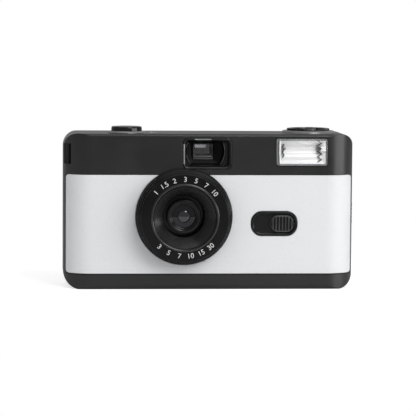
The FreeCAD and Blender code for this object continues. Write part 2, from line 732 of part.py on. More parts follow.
def make_case_screws():
    screws = []
    for number, at in enumerate(screw_places()):
        low = s.seam_gap + s.seam_gap
        shank = rod(f"screw_shank_{number}", "z", at, s.screw_r, (low, s.screw_length))
        head = rod(f"screw_head_{number}", "z", at, s.screw_head_r, (low, s.screw_head - s.seam_gap))
        slot_a = box(f"screw_slot_a_{number}", (at[0] - s.screw_r, at[0] + s.screw_r),
                     (at[1] - s.screw_r / 5, at[1] + s.screw_r / 5), (-s.past, s.screw_head / 2))
        slot_b = box(f"screw_slot_b_{number}", (at[0] - s.screw_r / 5, at[0] + s.screw_r / 5),
                     (at[1] - s.screw_r, at[1] + s.screw_r), (-s.past, s.screw_head / 2))
        screws.append(cut(f"screw_{number}", fuse(f"screw_body_{number}", shank, head), slot_a, slot_b))
    compound = doc.addObject("Part::Compound", "case_screws")
    compound.Links = screws
    keep("case_screws", compound)


def eyepiece_block(name, gap, y):
    half_w = s.eyepiece_w / 2 + gap
    half_h = s.eyepiece_h / 2 + gap
    return plate(name, "XZ_Plane", y, ((s.finder_axis_x - half_w, s.finder_axis_x + half_w),
                                       (s.eyepiece_z - half_h, s.eyepiece_z + half_h)), 0.6)


# Main body: lower shell, film chambers, light tunnel, battery bay
chamber_front = s.chamber_y - s.chamber_r - s.chamber_wall
chamber_side_x = chamber_x + s.chamber_r + s.chamber_side
chamber_left_x = chamber_x - s.chamber_r - s.chamber_side
spool_right_x = spool_x + s.spool_room_r + s.chamber_side
spool_left_x = spool_x - s.spool_room_r - s.chamber_side
spool_front = s.spool_y - s.spool_room_r - s.chamber_side
ceiling = s.chamber_top + s.chamber_side
rail_back = s.film_y
rail_front = s.film_y - s.rail_plate
cell_at = (cell_x, s.cell_y)
bay_r = s.cell_r + s.bay_gap
bay_low = s.wall
cell_low = s.wall + s.cell_lift
cell_high = cell_low + s.cell_length
bay_high = cell_high + s.cell_nub + s.contact_thick + s.seam_gap
board_y = inner_front + s.board_set_back
board_left = cell_x - s.board_off
lever_pivot = (button_x + star_x) / 2 + s.lever_offset
lever_z = s.button_stem_low - s.lever_gap - s.lever_thick / 2


def knuckle(name, start, radius, gap=0):
    return rod(name, "z", (hinge_x, hinge_y), radius, (start - gap, start + s.knuckle_length + gap))


def lower_shell():
    ring = box("body_zone", EVERY_X, (cover_back + s.seam_gap, door_front),
               (-s.past, s.seam_height - s.seam_gap))
    column = box("column_zone", (-far, column_x), (door_front - s.past, far),
                 (-s.past, s.seam_height - s.seam_gap))
    outer = common("body_block", case_solid("body_case", 0), fuse("body_zones", ring, column))
    latch_slot = box("latch_slot", (inner_side - s.past, far),
                     (latch_y - s.latch_knob_d / 2 - s.door_gap, latch_y + s.latch_knob_d / 2 + s.door_gap),
                     (s.latch_z - s.latch_knob_h / 2 - s.door_gap,
                      s.latch_z + s.latch_knob_h / 2 + s.latch_travel + s.door_gap))
    return cut("lower_shell", outer, case_solid("body_hollow", s.wall, False), latch_slot)


def chambers():
    """The cartridge and take-up chambers, open to the back."""
    floor = s.wall - s.seam_gap
    cartridge = box("cartridge_block", (chamber_left_x, chamber_side_x), (chamber_front, rail_back),
                    (floor, ceiling))
    take_up = box("take_up_block", (spool_left_x, spool_right_x), (spool_front, rail_back), (floor, ceiling))
    cartridge_bore = rod("cartridge_bore", "z", rewind_at, s.chamber_r, (s.wall, s.chamber_top))
    cartridge_way = box("cartridge_way", (chamber_x - s.chamber_r, chamber_x + s.chamber_r),
                        (s.chamber_y, far), (s.wall, s.chamber_top))
    spool_bore = rod("spool_bore", "z", spool_at, s.spool_room_r, (s.wall, s.chamber_top))
    spool_way = box("spool_way", (spool_x - s.spool_room_r, spool_x + s.spool_room_r),
                    (s.spool_y, far), (s.wall, s.chamber_top))
    shaft = rod("rewind_shaft_hole", "z", rewind_at, s.axle_r + s.pin_gap,
                (s.chamber_top - s.past, ceiling + s.past))
    spool_top = rod("spool_top_hole", "z", spool_at, s.axle_r + s.pin_gap,
                    (s.chamber_top - s.past, ceiling + s.past))
    spool_low = rod("spool_low_hole", "z", spool_at, s.axle_r / 2 + s.pin_gap, (s.wall / 2, s.wall + s.past))
    return (cartridge, take_up), (cartridge_bore, cartridge_way, spool_bore, spool_way, shaft, spool_top,
                                  spool_low)


def light_tunnel():
    half_w = s.gate_width / 2
    half_h = s.gate_height / 2
    outer_w = half_w + s.tunnel_wall
    outer_h = half_h + s.tunnel_wall
    rails = box("rail_plate", (spool_right_x - s.wall, chamber_left_x + s.wall), (rail_front, rail_back),
                (s.rail_bottom, s.rail_top))
    tunnel = box("tunnel_block", (s.lens_x - outer_w, s.lens_x + outer_w),
                 (s.tunnel_front, rail_front + s.wall / 2),
                 (s.lens_z - outer_h, s.lens_z + outer_h))
    mouth = s.tunnel_mouth / 2
    light = frustum("light_path", (s.tunnel_front - s.seam_gap, rail_back + s.seam_gap),
                    ((s.lens_x - mouth, s.lens_x + mouth), (s.lens_z - mouth, s.lens_z + mouth)),
                    ((s.lens_x - half_w, s.lens_x + half_w), (s.lens_z - half_h, s.lens_z + half_h)))
    foot = box("tunnel_foot", (s.lens_x - half_w, s.lens_x + half_w), (s.tunnel_front + s.wall, rail_front),
               (s.wall / 2, s.lens_z - half_h - s.tunnel_wall / 2))
    star_slot = rod("star_slot", "z", star_at, s.star_r + s.star_tooth + s.door_gap,
                    (s.star_z - s.door_gap, s.star_z + s.star_thick + s.door_gap))
    return (rails, tunnel, foot), (light, star_slot)


def battery_bay():
    outer = box("bay_block", (cell_x - bay_r - s.bay_wall, cell_x + bay_r + s.bay_wall),
                (s.cell_y - bay_r + s.bay_wall, s.cell_y + bay_r + s.bay_wall),
                (s.wall / 2, bay_high + s.bay_wall))
    inner = rod("bay_bore", "z", cell_at, bay_r, (-s.past, bay_high))
    lid = box("bay_door_hole", battery_door_x(s.door_gap), battery_door_y(s.door_gap),
              (-s.past, s.wall + s.seam_gap))
    stubs = lid_stubs("bay_stub_holes", s.door_stub_r + s.pin_gap, s.door_stub + s.door_gap)
    return (outer,), (inner, lid, stubs)


def battery_door_x(grow):
    return (cell_x - s.battery_door_w / 2 - grow, cell_x + s.battery_door_w / 2 + grow)


def battery_door_y(grow):
    return (s.battery_door_y - grow, s.battery_door_y + s.battery_door_l + grow)


def posts():
    """Posts that carry the button guide, the release lever and the sprocket shaft."""
    tunnel_top = s.lens_z + s.gate_height / 2 + s.tunnel_wall
    root = tunnel_top - s.lever_thick
    shelf_low = s.button_stem_low + s.guide_gap
    shelf_end = button_x + s.guide_reach
    guide_front = s.button_y - s.guide_front
    shelf = box("guide_shelf", (button_x - s.wall, shelf_end), (guide_front, s.button_y + s.wall),
                (shelf_low, shelf_low + s.guide_thick))
    upright = box("guide_post", (shelf_end - s.guide_post, shelf_end),
                  (guide_front, s.button_y - s.guide_front / 2),
                  (root, shelf_low + s.guide_thick / 2))
    foot = box("guide_foot", (shelf_end - s.guide_post, shelf_end), (guide_front, s.tunnel_front + s.wall),
               (root, tunnel_top + s.lever_thick))
    stem = rod("guide_hole", "z", button_at, s.button_stem_r + s.pin_gap,
               (shelf_low - s.past, shelf_low + s.past))
    ear_half = s.pin_r * 2.5
    ear = box("lever_ear", (lever_pivot - ear_half, lever_pivot + ear_half),
              (s.tunnel_front + s.door_gap, s.tunnel_front + s.door_gap + s.lever_leg),
              (root, lever_z + ear_half))
    ear_hole = rod("lever_ear_hole", "y", (lever_pivot, lever_z), s.pin_r,
                   (s.tunnel_front - s.past, s.tunnel_front + s.past))
    bridge = box("star_bridge", (star_x - s.wall * 3, dial_x + s.wall * 2),
                 (star_y - s.wall * 2, rail_front + s.wall / 2),
                 (s.rail_top - s.lever_thick, s.rail_top))
    star_hole = rod("star_bridge_hole", "z", star_at, s.star_shaft_r + s.pin_gap,
                    (s.rail_top - s.past, s.rail_top + s.past))
    return (shelf, upright, foot, ear, bridge), (stem, ear_hole, star_hole)


def make_main_body():
    inner = []
    holes = []
    for group in (chambers(), light_tunnel(), battery_bay(), posts()):
        inner += group[0]
        holes += group[1]
    for number, at in enumerate(screw_places()):
        inner.append(rod(f"screw_boss_{number}", "z", at, s.screw_r + s.wall,
                         (s.wall, s.screw_length + s.wall)))
        inner.append(box(f"boss_rib_{number}", (at[0] - s.wall / 2, at[0] + s.wall / 2),
                         (at[1], cover_back + s.wall), (s.wall, s.screw_length + s.wall)))
    room = case_solid("inner_room", s.wall + s.seam_gap, False)
    solids = [lower_shell(), common("inner_frame", fuse("inner_solid", *inner), room)]
    solids.append(box("floor_slab", (spool_left_x, chamber_side_x), (cover_back + s.door_gap, door_front),
                      (s.wall / 2, s.wall + s.door_gap)))
    for number, start in enumerate((s.knuckle_low, s.knuckle_low + s.knuckle_gap)):
        solids.append(knuckle(f"body_knuckle_{number}", start, s.knuckle_r))
        solids.append(box(f"knuckle_web_{number}", (column_x - s.door_gap, hinge_x),
                          (hinge_y - s.knuckle_r, hinge_y - s.knuckle_r / 2),
                          (start, start + s.knuckle_length)))
    solids.append(box("latch_spring_stop", (chamber_side_x - s.wall, inner_side + s.wall / 2),
                      (latch_y - s.wall, latch_y + s.wall),
                      (latch_high + latch_room, latch_high + latch_room + s.wall)))
    grow = s.wall + s.door_gap
    holes.append(box("strap_relief", (-far, s.strap_in + grow - side), strap_range(grow),
                     strap_heights(grow)))
    holes.append(box("door_relief", (column_x, far), (door_front, far), (-s.past, s.wall + s.door_gap)))
    holes.append(box("door_corner_relief", (column_x, hinge_x + s.wall), (door_front, far),
                     (-s.past, s.wall * 2)))
    holes.append(box("contact_relief", (chamber_left_x - s.wall, knob_mid_x + 2.0),
                     (-far, switch_back + 1.8),
                     (switch_z - 3.4, switch_z + 3.4)))
    holes.append(box("apron_relief", (knob_mid_x - apron_half - s.knob_travel,
                                      knob_mid_x + apron_half + s.door_gap),
                     (-far, apron_y[1] + s.seam_gap),
                     (switch_z - s.apron_height / 2 - s.door_gap,
                      switch_z + s.apron_height / 2 + s.door_gap)))
    holes.append(screw_holes("body_screw"))
    holes.append(rod("hinge_bore", "z", (hinge_x, hinge_y), s.pin_r + s.pin_gap, (s.wall, ceiling)))
    holes.append(rod("release_hole", "z", (release_x, s.release_y), s.release_r + s.pin_gap,
                     (-s.past, s.wall + s.past)))
    holes.append(rod("release_room", "z", (release_x, s.release_y),
                     s.release_r + s.release_flange + s.door_gap,
                     (s.wall, s.wall + s.release_travel + s.release_travel + s.door_gap)))
    keep("main_body", cut("main_body", fuse("body_solid", *solids), *holes))


# Back door, hinge pin, latch
latch_y = door_front - s.latch_ahead
latch_high = s.latch_z + s.latch_height / 2
latch_room = s.latch_travel + s.latch_spring_rest
latch_left = chamber_side_x + s.seam_gap + s.latch_side
latch_x = (latch_left, latch_left + s.latch_thick)


def film_window(name, gap, y):
    half_w = s.window_w / 2 + gap
    half_h = s.window_h / 2 + gap
    return plate(name, "XZ_Plane", y, ((chamber_x - half_w, chamber_x + half_w),
                                       (s.window_z - half_h, s.window_z + half_h)), s.panel_round)


def make_back_door():
    zone = box("door_zone", (hinge_x, far), (door_front + s.door_gap, far),
               (-s.past, s.door_top - s.door_gap))
    outer = common("door_block", case_solid("door_case", 0), zone)
    solids = [cut("door_shell", outer, case_solid("door_hollow", s.wall, False))]
    holes = [film_window("film_window_hole", s.seam_gap, (inner_back - s.past, far))]
    solids.append(rod("door_barrel", "z", (hinge_x, hinge_y), s.knuckle_r,
                      (s.wall, s.door_top - s.door_gap)))
    for number, start in enumerate((s.knuckle_low, s.knuckle_low + s.knuckle_gap)):
        holes.append(knuckle(f"knuckle_relief_{number}", start, s.knuckle_r + s.door_gap, s.door_gap))
    holes.append(rod("door_hinge_bore", "z", (hinge_x, hinge_y), s.pin_r + s.pin_gap, (s.wall, s.door_top)))
    for number, height in enumerate((s.latch_z - s.latch_height / 3, s.latch_z + s.latch_height / 3)):
        tall = (height - s.keeper_depth / 2, height + s.keeper_depth / 2)
        root = door_front + s.keeper_in
        solids.append(box(f"keeper_{number}", latch_x, (latch_back + s.door_gap, root + s.keeper_depth),
                          tall))
        solids.append(box(f"keeper_root_{number}", (latch_x[0], inner_side + s.wall / 2),
                          (root, root + s.keeper_depth), tall))
    peg_reach = s.plate_width / 2 - s.peg_in
    for number, x in enumerate((s.lens_x - peg_reach, s.lens_x + peg_reach)):
        solids.append(rod(f"plate_peg_{number}", "y", (x, s.lens_z), s.pin_r,
                          (plate_y + s.plate_thick + s.seam_gap, inner_back + s.wall / 2)))
    seat = s.spring_width / 2 + s.seat_rim
    solids.append(box("spring_seat", (s.lens_x - s.spring_top, s.lens_x + s.spring_top),
                      (inner_back - s.seat_high, inner_back + s.wall / 2),
                      (s.lens_z - seat, s.lens_z + seat)))
    keep("back_door", cut("back_door", fuse("door_solid", *solids), *holes))


latch_back = latch_y + s.latch_knob_d / 2 + s.latch_reach
plate_y = rail_back + s.plate_gap


def make_hinge_pin():
    keep("hinge_pin", rod("hinge_pin", "z", (hinge_x, hinge_y), s.pin_r, (s.wall * 2, s.door_top - s.wall)))


def make_film_window():
    keep("film_window", film_window("film_window", 0, (inner_back, back - s.seam_gap)))


def make_pressure_plate():
    half = s.plate_width / 2
    body = plate("pressure_plate", "XZ_Plane", (plate_y, plate_y + s.plate_thick),
                 ((s.lens_x - half, s.lens_x + half),
                  (s.lens_z - s.plate_height / 2, s.lens_z + s.plate_height / 2)), s.panel_round)
    keep("pressure_plate", body)


def make_pressure_spring():
    """A bowed leaf between the pressure plate and the door."""
    middle = s.lens_x
    low = plate_y + s.plate_thick + s.seam_gap
    high = inner_back - s.seat_high - s.seam_gap
    reach = s.plate_width / 2 - s.spring_in
    thick = s.spring_thick
    top = s.spring_top
    foot = reach - s.spring_foot
    points = [(middle - reach, low), (middle - foot, low), (middle - top, high - thick),
              (middle + top, high - thick),
              (middle + foot, low), (middle + reach, low), (middle + reach, low + thick),
              (middle + foot, low + thick), (middle + top, high), (middle - top, high),
              (middle - foot, low + thick), (middle - reach, low + thick)]
    keep("pressure_spring", plate("pressure_spring", "XY_Plane",
                                  (s.lens_z - s.spring_width / 2, s.lens_z + s.spring_width / 2), points))


def make_door_latch():
    bar = box("latch_bar", latch_x, (latch_y - s.latch_knob_d / 2 - s.latch_reach, latch_back),
              (s.latch_z - s.latch_height / 2, latch_high))
    knob = plate("latch_knob", "XY_Plane", (s.latch_z - s.latch_knob_h / 2, s.latch_z + s.latch_knob_h / 2),
                 ((latch_x[1] - s.seam_gap, side + s.latch_proud),
                  (latch_y - s.latch_knob_d / 2, latch_y + s.latch_knob_d / 2)), s.spring_thick)
    grooves = []
    for number in range(4):
        z = s.latch_z - s.latch_knob_h / 2 + s.latch_knob_h / 5 * (number + 1)
        groove = (z - s.latch_side, z + s.latch_side)
        grooves.append(box(f"latch_groove_{number}", (side + s.latch_proud / 3, far), EVERY_Y, groove))
    keep("door_latch", cut("door_latch", fuse("latch_solid", bar, knob), *grooves))


def make_latch_spring():
    at = ((latch_x[0] + latch_x[1]) / 2, latch_y)
    keep("latch_spring", tube("latch_spring", "z", at, s.latch_thick / 2, s.latch_thick / 4,
                              (latch_high + s.seam_gap, latch_high + latch_room - s.seam_gap)))


# Lens and shutter
barrel_front = face_y + s.barrel_set_back
shutter_back = s.shutter_y + s.shutter_thick
blade_back = s.shutter_y - s.shutter_gap
blade_front = blade_back - s.leaf_thick
stop_back = blade_front - s.shutter_gap
stop_front = stop_back - s.leaf_thick
glass_front = barrel_front + s.retainer_thick + s.seam_gap
glass_back = glass_front + s.glass_thick
blade_pivot = (s.lens_x - s.blade_arm * 0.6, s.lens_z + s.blade_arm * 0.8)


def make_lens_ring():
    step = face_y + s.ring_step
    groove = s.ring_groove
    inner = s.cone_mouth_r + s.cone_wall + s.seam_gap
    profile = [
        (inner, face_y), (s.ring_face_r - groove, face_y), (s.ring_face_r, face_y + groove),
        (s.ring_face_r + groove, step), (s.ring_mid_r - groove * 2, step),
        (s.ring_mid_r - groove * 2, step + groove),
        (s.ring_mid_r - groove, step + groove), (s.ring_mid_r, step + groove * 2),
        (s.ring_base_r, front - s.seam_gap), (s.ring_skirt_r, front - s.seam_gap),
        (s.ring_skirt_r, front + s.ring_skirt), (inner, front + s.ring_skirt),
    ]
    keep("lens_ring", turned("lens_ring", "y", lens_at, profile))


def make_lens_cone():
    """The funnel inside the ring, stepped like a light baffle."""
    mouth = s.cone_mouth_r
    throat = s.cone_throat_r
    steps = 7
    profile = [(mouth + s.cone_wall, face_y - s.cone_lip / 2), (mouth + s.cone_lip, face_y - s.cone_lip)]
    for number in range(steps):
        share = number / steps
        after = (number + 1) / steps
        radius = mouth - (mouth - throat) * share
        next_radius = mouth - (mouth - throat) * after
        y = face_y + s.cone_depth * after
        if number == 0:
            profile.append((radius, face_y))
        profile.append((next_radius + s.cone_lip / 4, y - s.cone_lip / 4))
        profile.append((next_radius, y - s.cone_lip / 4))
    end = face_y + s.cone_depth
    profile.append((throat, end + s.cone_wall))
    profile.append((throat + s.cone_wall, end + s.cone_wall))
    profile.append((mouth + s.cone_wall, front))
    keep("lens_cone", turned("lens_cone", "y", lens_at, profile))


def make_lens_barrel():
    back_end = stop_front - s.seam_gap
    inner = s.barrel_bore_r
    small = s.barrel_bore_r - 1.0
    profile = [(inner, barrel_front), (s.barrel_r - 0.4, barrel_front), (s.barrel_r, barrel_front + 0.4),
               (s.barrel_r, back_end - s.barrel_flange), (s.barrel_flange_r, back_end - s.barrel_flange),
               (s.barrel_flange_r, back_end), (small, back_end), (small, glass_back + s.seam_gap),
               (inner, glass_back + s.seam_gap)]
    keep("lens_barrel", turned("lens_barrel", "y", lens_at, profile))


def make_lens_retainer():
    rim = s.barrel_bore_r - s.seam_gap
    profile = [(s.retainer_r, barrel_front + s.retainer_thick),
               (s.retainer_r, barrel_front + s.retainer_thick / 2),
               (s.retainer_r + 0.3, barrel_front - 0.1), (rim, barrel_front - 0.1),
               (rim, barrel_front + s.retainer_thick)]
    keep("lens_retainer", turned("lens_retainer", "y", lens_at, profile))


def make_front_lens():
    disc = rod("front_lens_disc", "y", lens_at, s.glass_r, (glass_front, glass_back))
    dome = ball("front_lens_dome", s.lens_x, glass_front + s.glass_curve, s.lens_z, s.glass_curve)
    keep("front_lens", common("front_lens", disc, dome))


def make_rear_lens():
    y = shutter_back - s.rear_lens_thick
    disc = rod("rear_lens_disc", "y", lens_at, s.rear_lens_r,
               (s.shutter_y + 0.1, y + s.rear_lens_thick * 1.6))
    dome = ball("rear_lens_dome", s.lens_x, y + s.rear_lens_thick * 1.6 - s.glass_curve, s.lens_z,
                s.glass_curve)
    keep("rear_lens", common("rear_lens", disc, dome))


def make_aperture_stop():
    keep("aperture_stop", tube("aperture_stop", "y", lens_at, s.barrel_flange_r, s.stop_r,
                               (stop_front, stop_back)))


def make_shutter_plate():
    left = s.lens_x - s.shutter_width / 2
    low = s.lens_z - s.shutter_height / 2
    base = plate("shutter_base", "XZ_Plane", (s.shutter_y, shutter_back),
                 ((left, left + s.shutter_width), (low, low + s.shutter_height)), s.panel_round)
    seat = rod("rear_lens_seat", "y", lens_at, s.rear_lens_r + s.seam_gap,
               (s.shutter_y - 1, shutter_back + 1))
    pivot = rod("blade_pin", "y", blade_pivot, s.pin_r, (stop_back + s.seam_gap, s.shutter_y + 0.1))
    legs = []
    for number, x in enumerate((left + 2, left + s.shutter_width - 2)):
        legs.append(rod(f"shutter_leg_{number}", "y", (x, low + 2.4), s.wall,
                        (shutter_back - 0.1, s.tunnel_front)))
    keep("shutter_plate", fuse("shutter_plate", cut("shutter_holed", base, seat), pivot, *legs))


def make_shutter_blade():
    """A thin leaf that covers the aperture and swings clear about its pin."""
    y = (blade_front, blade_back)
    over = rod("blade_disc", "y", lens_at, s.blade_r, y)
    hub = rod("blade_hub", "y", blade_pivot, s.pin_r * 2.4, y)
    dx = lens_at[0] - blade_pivot[0]
    dz = lens_at[1] - blade_pivot[1]
    w = s.pin_r * 1.3
    arm = plate("blade_arm", "XZ_Plane", y, [
        (blade_pivot[0] - w * 0.8, blade_pivot[1] - w * 0.6),
        (blade_pivot[0] + w * 0.8, blade_pivot[1] + w * 0.6),
        (blade_pivot[0] + dx + w * 0.8, blade_pivot[1] + dz + w * 0.6),
        (blade_pivot[0] + dx - w * 0.8, blade_pivot[1] + dz - w * 0.6)])
    hole = rod("blade_hole", "y", blade_pivot, s.pin_r + s.pin_gap, (blade_front - 1, blade_back + 1))
    keep("shutter_blade", cut("shutter_blade", fuse("blade_solid", over, hub, arm), hole))


def make_release_lever():
    """A rocker between the shutter button and the shutter."""
    y = (s.tunnel_front - s.lever_depth - s.panel_gap, s.tunnel_front - s.panel_gap)
    left = button_x - s.button_stem_r
    end = lever_pivot + s.lever_reach
    half = s.lever_thick / 2
    bar = box("lever_bar", (left, end), y, (lever_z - half, lever_z + half))
    leg = box("lever_leg", (end - s.lever_leg, end), y,
              (s.lens_z + s.shutter_height / 2 + s.lever_low, lever_z))
    hub = rod("lever_hub", "y", (lever_pivot, lever_z), s.pin_r * 2, y)
    hole = rod("lever_hole", "y", (lever_pivot, lever_z), s.pin_r + s.pin_gap,
               (y[0] - s.past, y[1] + s.past))
    keep("release_lever", cut("release_lever", fuse("lever_solid", bar, leg, hub), hole))


def make_lever_pin():
    keep("lever_pin", rod("lever_pin", "y", (lever_pivot, lever_z), s.pin_r - s.seam_gap / 5,
                          (s.tunnel_front - s.lever_depth - s.panel_gap * 5, s.tunnel_front + s.lever_leg)))


# Film transport

def notched_wheel(name, at, radius, z, count, depth, width):
    """A round wheel with notches cut round its rim by one pattern."""
    body = doc.addObject("PartDesign::Body", name)
    sketch = new_sketch(body, "XY_Plane", z[0])
    number = sketch.addGeometry(Part.Circle(Vector(0, 0, 0), Vector(0, 0, 1), float(radius)), False)
    sketch.addConstraint(Sketcher.Constraint("Coincident", number, 3, -1, 1))
    constraint = sketch.addConstraint(Sketcher.Constraint("Radius", number, float(radius)))
    sketch.setExpression(f"Constraints[{constraint}]", as_size(radius).formula)
    pad(body, sketch, as_size(z[1]) - z[0])
    doc.recompute()
    before = body.Shape.Volume
    notch = new_sketch(body, "XY_Plane", z[0])
    draw_outline(notch, [(radius - depth, -width / 4), (radius + depth, -width), (radius + depth, width),
                         (radius - depth, width / 4)])
    pocket = body.newObject("PartDesign::Pocket", name + "_notch")
    pocket.Profile = notch
    bind(pocket, "Length", as_size(z[1]) - z[0])
    pocket.Reversed = True
    doc.recompute()
    if not body.Shape.Volume < before:
        raise ValueError(name + ": the notch cuts nothing")
    pattern = body.newObject("PartDesign::PolarPattern", name + "_notches")
    pattern.Originals = [pocket]
    pattern.Axis = (sketch, ["N_Axis"])
    pattern.Angle = 360
    pattern.Occurrences = int(count)
    body.Tip = pattern
    return place(body, at[0], at[1], 0)


def make_advance_wheel():
    z = (s.wheel_bottom, s.wheel_bottom + s.wheel_thick)
    rim = notched_wheel("wheel_rim", spool_at, s.wheel_r, z, float(s.wheel_notches), s.notch_depth,
                        s.notch_width / 2)
    bore = rod("wheel_bore", "z", spool_at, s.axle_r, (z[0] - 1, z[1] + 1))
    keep("advance_wheel", cut("advance_wheel", rim, bore))


def make_take_up_spool():
    low = s.wall + s.door_gap
    high = s.chamber_top - s.door_gap
    core = rod("spool_core", "z", spool_at, s.spool_r, (low, high))
    bottom = rod("spool_bottom", "z", spool_at, s.spool_flange_r, (low, low + s.spool_flange))
    top = rod("spool_top", "z", spool_at, s.spool_flange_r, (high - s.spool_flange, high))
    axle = rod("spool_axle", "z", spool_at, s.axle_r,
               (high - s.wall, s.wheel_bottom + s.wheel_thick - s.wall))
    foot = rod("spool_foot", "z", spool_at, s.axle_r / 2, (s.wall / 2 + s.door_gap, low + s.wall))
    slot = box("spool_slot", (spool_x - far / 8, spool_x + far / 8), (s.spool_y - 0.5, s.spool_y + 0.5),
               (s.lens_z - s.gate_height / 2, s.lens_z + s.gate_height / 2))
    slot_room = rod("spool_slot_room", "z", spool_at, s.spool_r + 0.5, (low + s.past, high - s.past))
    keep("take_up_spool", cut("take_up_spool", fuse("spool_solid", core, bottom, top, axle, foot),
                              common("spool_slot_cut", slot, slot_room)))


def make_sprocket():
    """Star wheel, shaft and shutter cam in one turning piece."""
    root = rod("star_root", "z", star_at, s.star_r, (s.star_z, s.star_z + s.star_thick))
    solids = [root]
    count = int(float(s.star_teeth))
    for number in range(count):
        angle = 360 / count * (number + 0.5)
        tooth = box(f"star_tooth_{number}", (0, s.star_r + s.star_tooth),
                    (-s.star_tooth * 0.55, s.star_tooth * 0.55),
                    (0, s.star_thick))
        solids.append(place(tooth, star_x + sine(angle) * s.star_tooth * 0.55,
                            star_y - cosine(angle) * s.star_tooth * 0.55, s.star_z, (0, 0, 1), angle))
    solids.append(rod("star_shaft", "z", star_at, s.star_shaft_r, (s.star_z - 0.6, s.star_shaft_top)))
    solids.append(rod("star_collar", "z", star_at, s.star_shaft_r + 0.8, (s.rail_top + s.door_gap, s.cam_z)))
    solids.append(rod("shutter_cam", "z", (star_x + s.cam_r * 0.3, star_y), s.cam_r,
                      (s.cam_z, s.cam_z + s.cam_thick)))
    keep("sprocket_shaft", fuse("sprocket_shaft", *solids))


def make_counter_dial():
    top = deck_under - s.dial_gap
    z = (top - s.dial_thick, top)
    dial_at = (dial_x, s.dial_y)
    keep("counter_dial", notched_wheel("counter_dial", dial_at, s.dial_r, z, 40, s.notch_depth,
                                       s.notch_width / 3))


def make_dial_post():
    z_top = deck_under - s.dial_gap - s.dial_thick - s.seam_gap
    keep("dial_post", rod("dial_post", "z", (dial_x, s.dial_y), s.star_shaft_r, (s.rail_top, z_top)))


def make_counter_window():
    keep("counter_window", rod("counter_window", "z", counter_window_at, s.counter_window_r,
                               (deck_under, s.body_height - s.seam_gap)))


# Viewfinder
def finder_outline(name, y, gap):
    return plate(name, "XZ_Plane", y, ((s.finder_left + gap, s.finder_right - gap),
                                       (s.finder_bottom + gap, s.finder_top - gap)), s.finder_round - gap)


def finder_window(y, grow=0):
    half_w = s.finder_window_w / 2 + grow
    half_h = s.finder_window_h / 2 + grow
    return ((s.finder_axis_x - half_w, s.finder_axis_x + half_w),
            (s.finder_axis_z - half_h, s.finder_axis_z + half_h))


finder_back = front + s.finder_depth
tube_top = deck_under - 0.4


def make_finder_bezel():
    """A deep funnel from the recess in the front down to the finder window."""
    outer = finder_outline("bezel_outer", (front, front + 2.2), s.finder_gap)
    shank = box("bezel_shank", (s.finder_left + 1.0, s.finder_right - 1.0), (front + 2.0, finder_back),
                (s.finder_bottom + 1.4, tube_top))
    rim = s.finder_gap + s.finder_rim
    mouth = ((s.finder_left + rim, s.finder_right - rim), (s.finder_bottom + rim, s.finder_top - rim))
    funnel = frustum("bezel_funnel", (front - 0.2, finder_back - 1.0), mouth, finder_window(0, 0.9))
    window = finder_window(0)
    opening = box("bezel_opening", window[0], (front, finder_back + 1), window[1])
    keep("finder_bezel", cut("finder_bezel", fuse("bezel_solid", outer, shank), funnel, opening))


def make_finder_lens():
    window = finder_window(0, 0.8)
    y = (finder_back + s.seam_gap, finder_back + s.seam_gap + s.finder_glass)
    block = box("finder_glass_block", window[0], y, window[1])
    hollow = ball("finder_glass_curve", s.finder_axis_x, y[0] - 13.6, s.finder_axis_z, 14.0)
    keep("finder_front_lens", cut("finder_front_lens", block, hollow))


def make_finder_tube():
    y = (finder_back + s.seam_gap + s.finder_glass + s.seam_gap, inner_back - s.eyepiece_thick)
    x = (s.finder_axis_x - s.tube_width / 2, s.finder_axis_x + s.tube_width / 2)
    outer = box("finder_tube_outer", x, y, (s.tube_bottom, tube_top))
    start, end = finder_window(0), eyepiece_range()
    inner = frustum("finder_tube_inner", (y[0] - s.seam_gap, y[1] + s.seam_gap), start, end)
    keep("finder_tube", cut("finder_tube", outer, inner))


def eyepiece_range():
    half_w = s.eyepiece_w / 2 - 1.0
    half_h = s.eyepiece_h / 2 - 0.8
    return ((s.finder_axis_x - half_w, s.finder_axis_x + half_w),
            (s.eyepiece_z - half_h, s.eyepiece_z + half_h))


def make_eyepiece():
    block = eyepiece_block("eyepiece_block", 0, (inner_back - s.eyepiece_thick + s.seam_gap, back - 0.3))
    dome = ball("eyepiece_dome", s.finder_axis_x, back - 0.3 - 16, s.eyepiece_z, 16)
    keep("finder_eyepiece", common("finder_eyepiece", block, dome))


# Flash
flash_front = front - s.flash_proud
dish_mouth_y = flash_front + s.flash_shell + s.seam_gap
dish_x = (flash_left + s.flash_shell + 0.5, flash_right - s.flash_shell - 0.5)
dish_z = (s.flash_bottom + s.flash_shell + 0.4, s.flash_top - s.flash_shell - 0.4)


def make_flash_window():
    """A clear cap that stands proud of the case."""
    outer = plate("flash_cap", "XZ_Plane", (flash_front, inner_front - s.seam_gap),
                  ((flash_left + s.finder_gap, flash_right - s.finder_gap),
                   (s.flash_bottom + s.finder_gap, s.flash_top - s.finder_gap)), s.flash_round)
    shell = s.finder_gap + s.flash_shell
    inner = box("flash_cap_hollow", (flash_left + shell, flash_right - shell),
                (flash_front + s.flash_shell, inner_front + 1),
                (s.flash_bottom + shell, s.flash_top - shell))
    keep("flash_window", cut("flash_window", outer, inner))


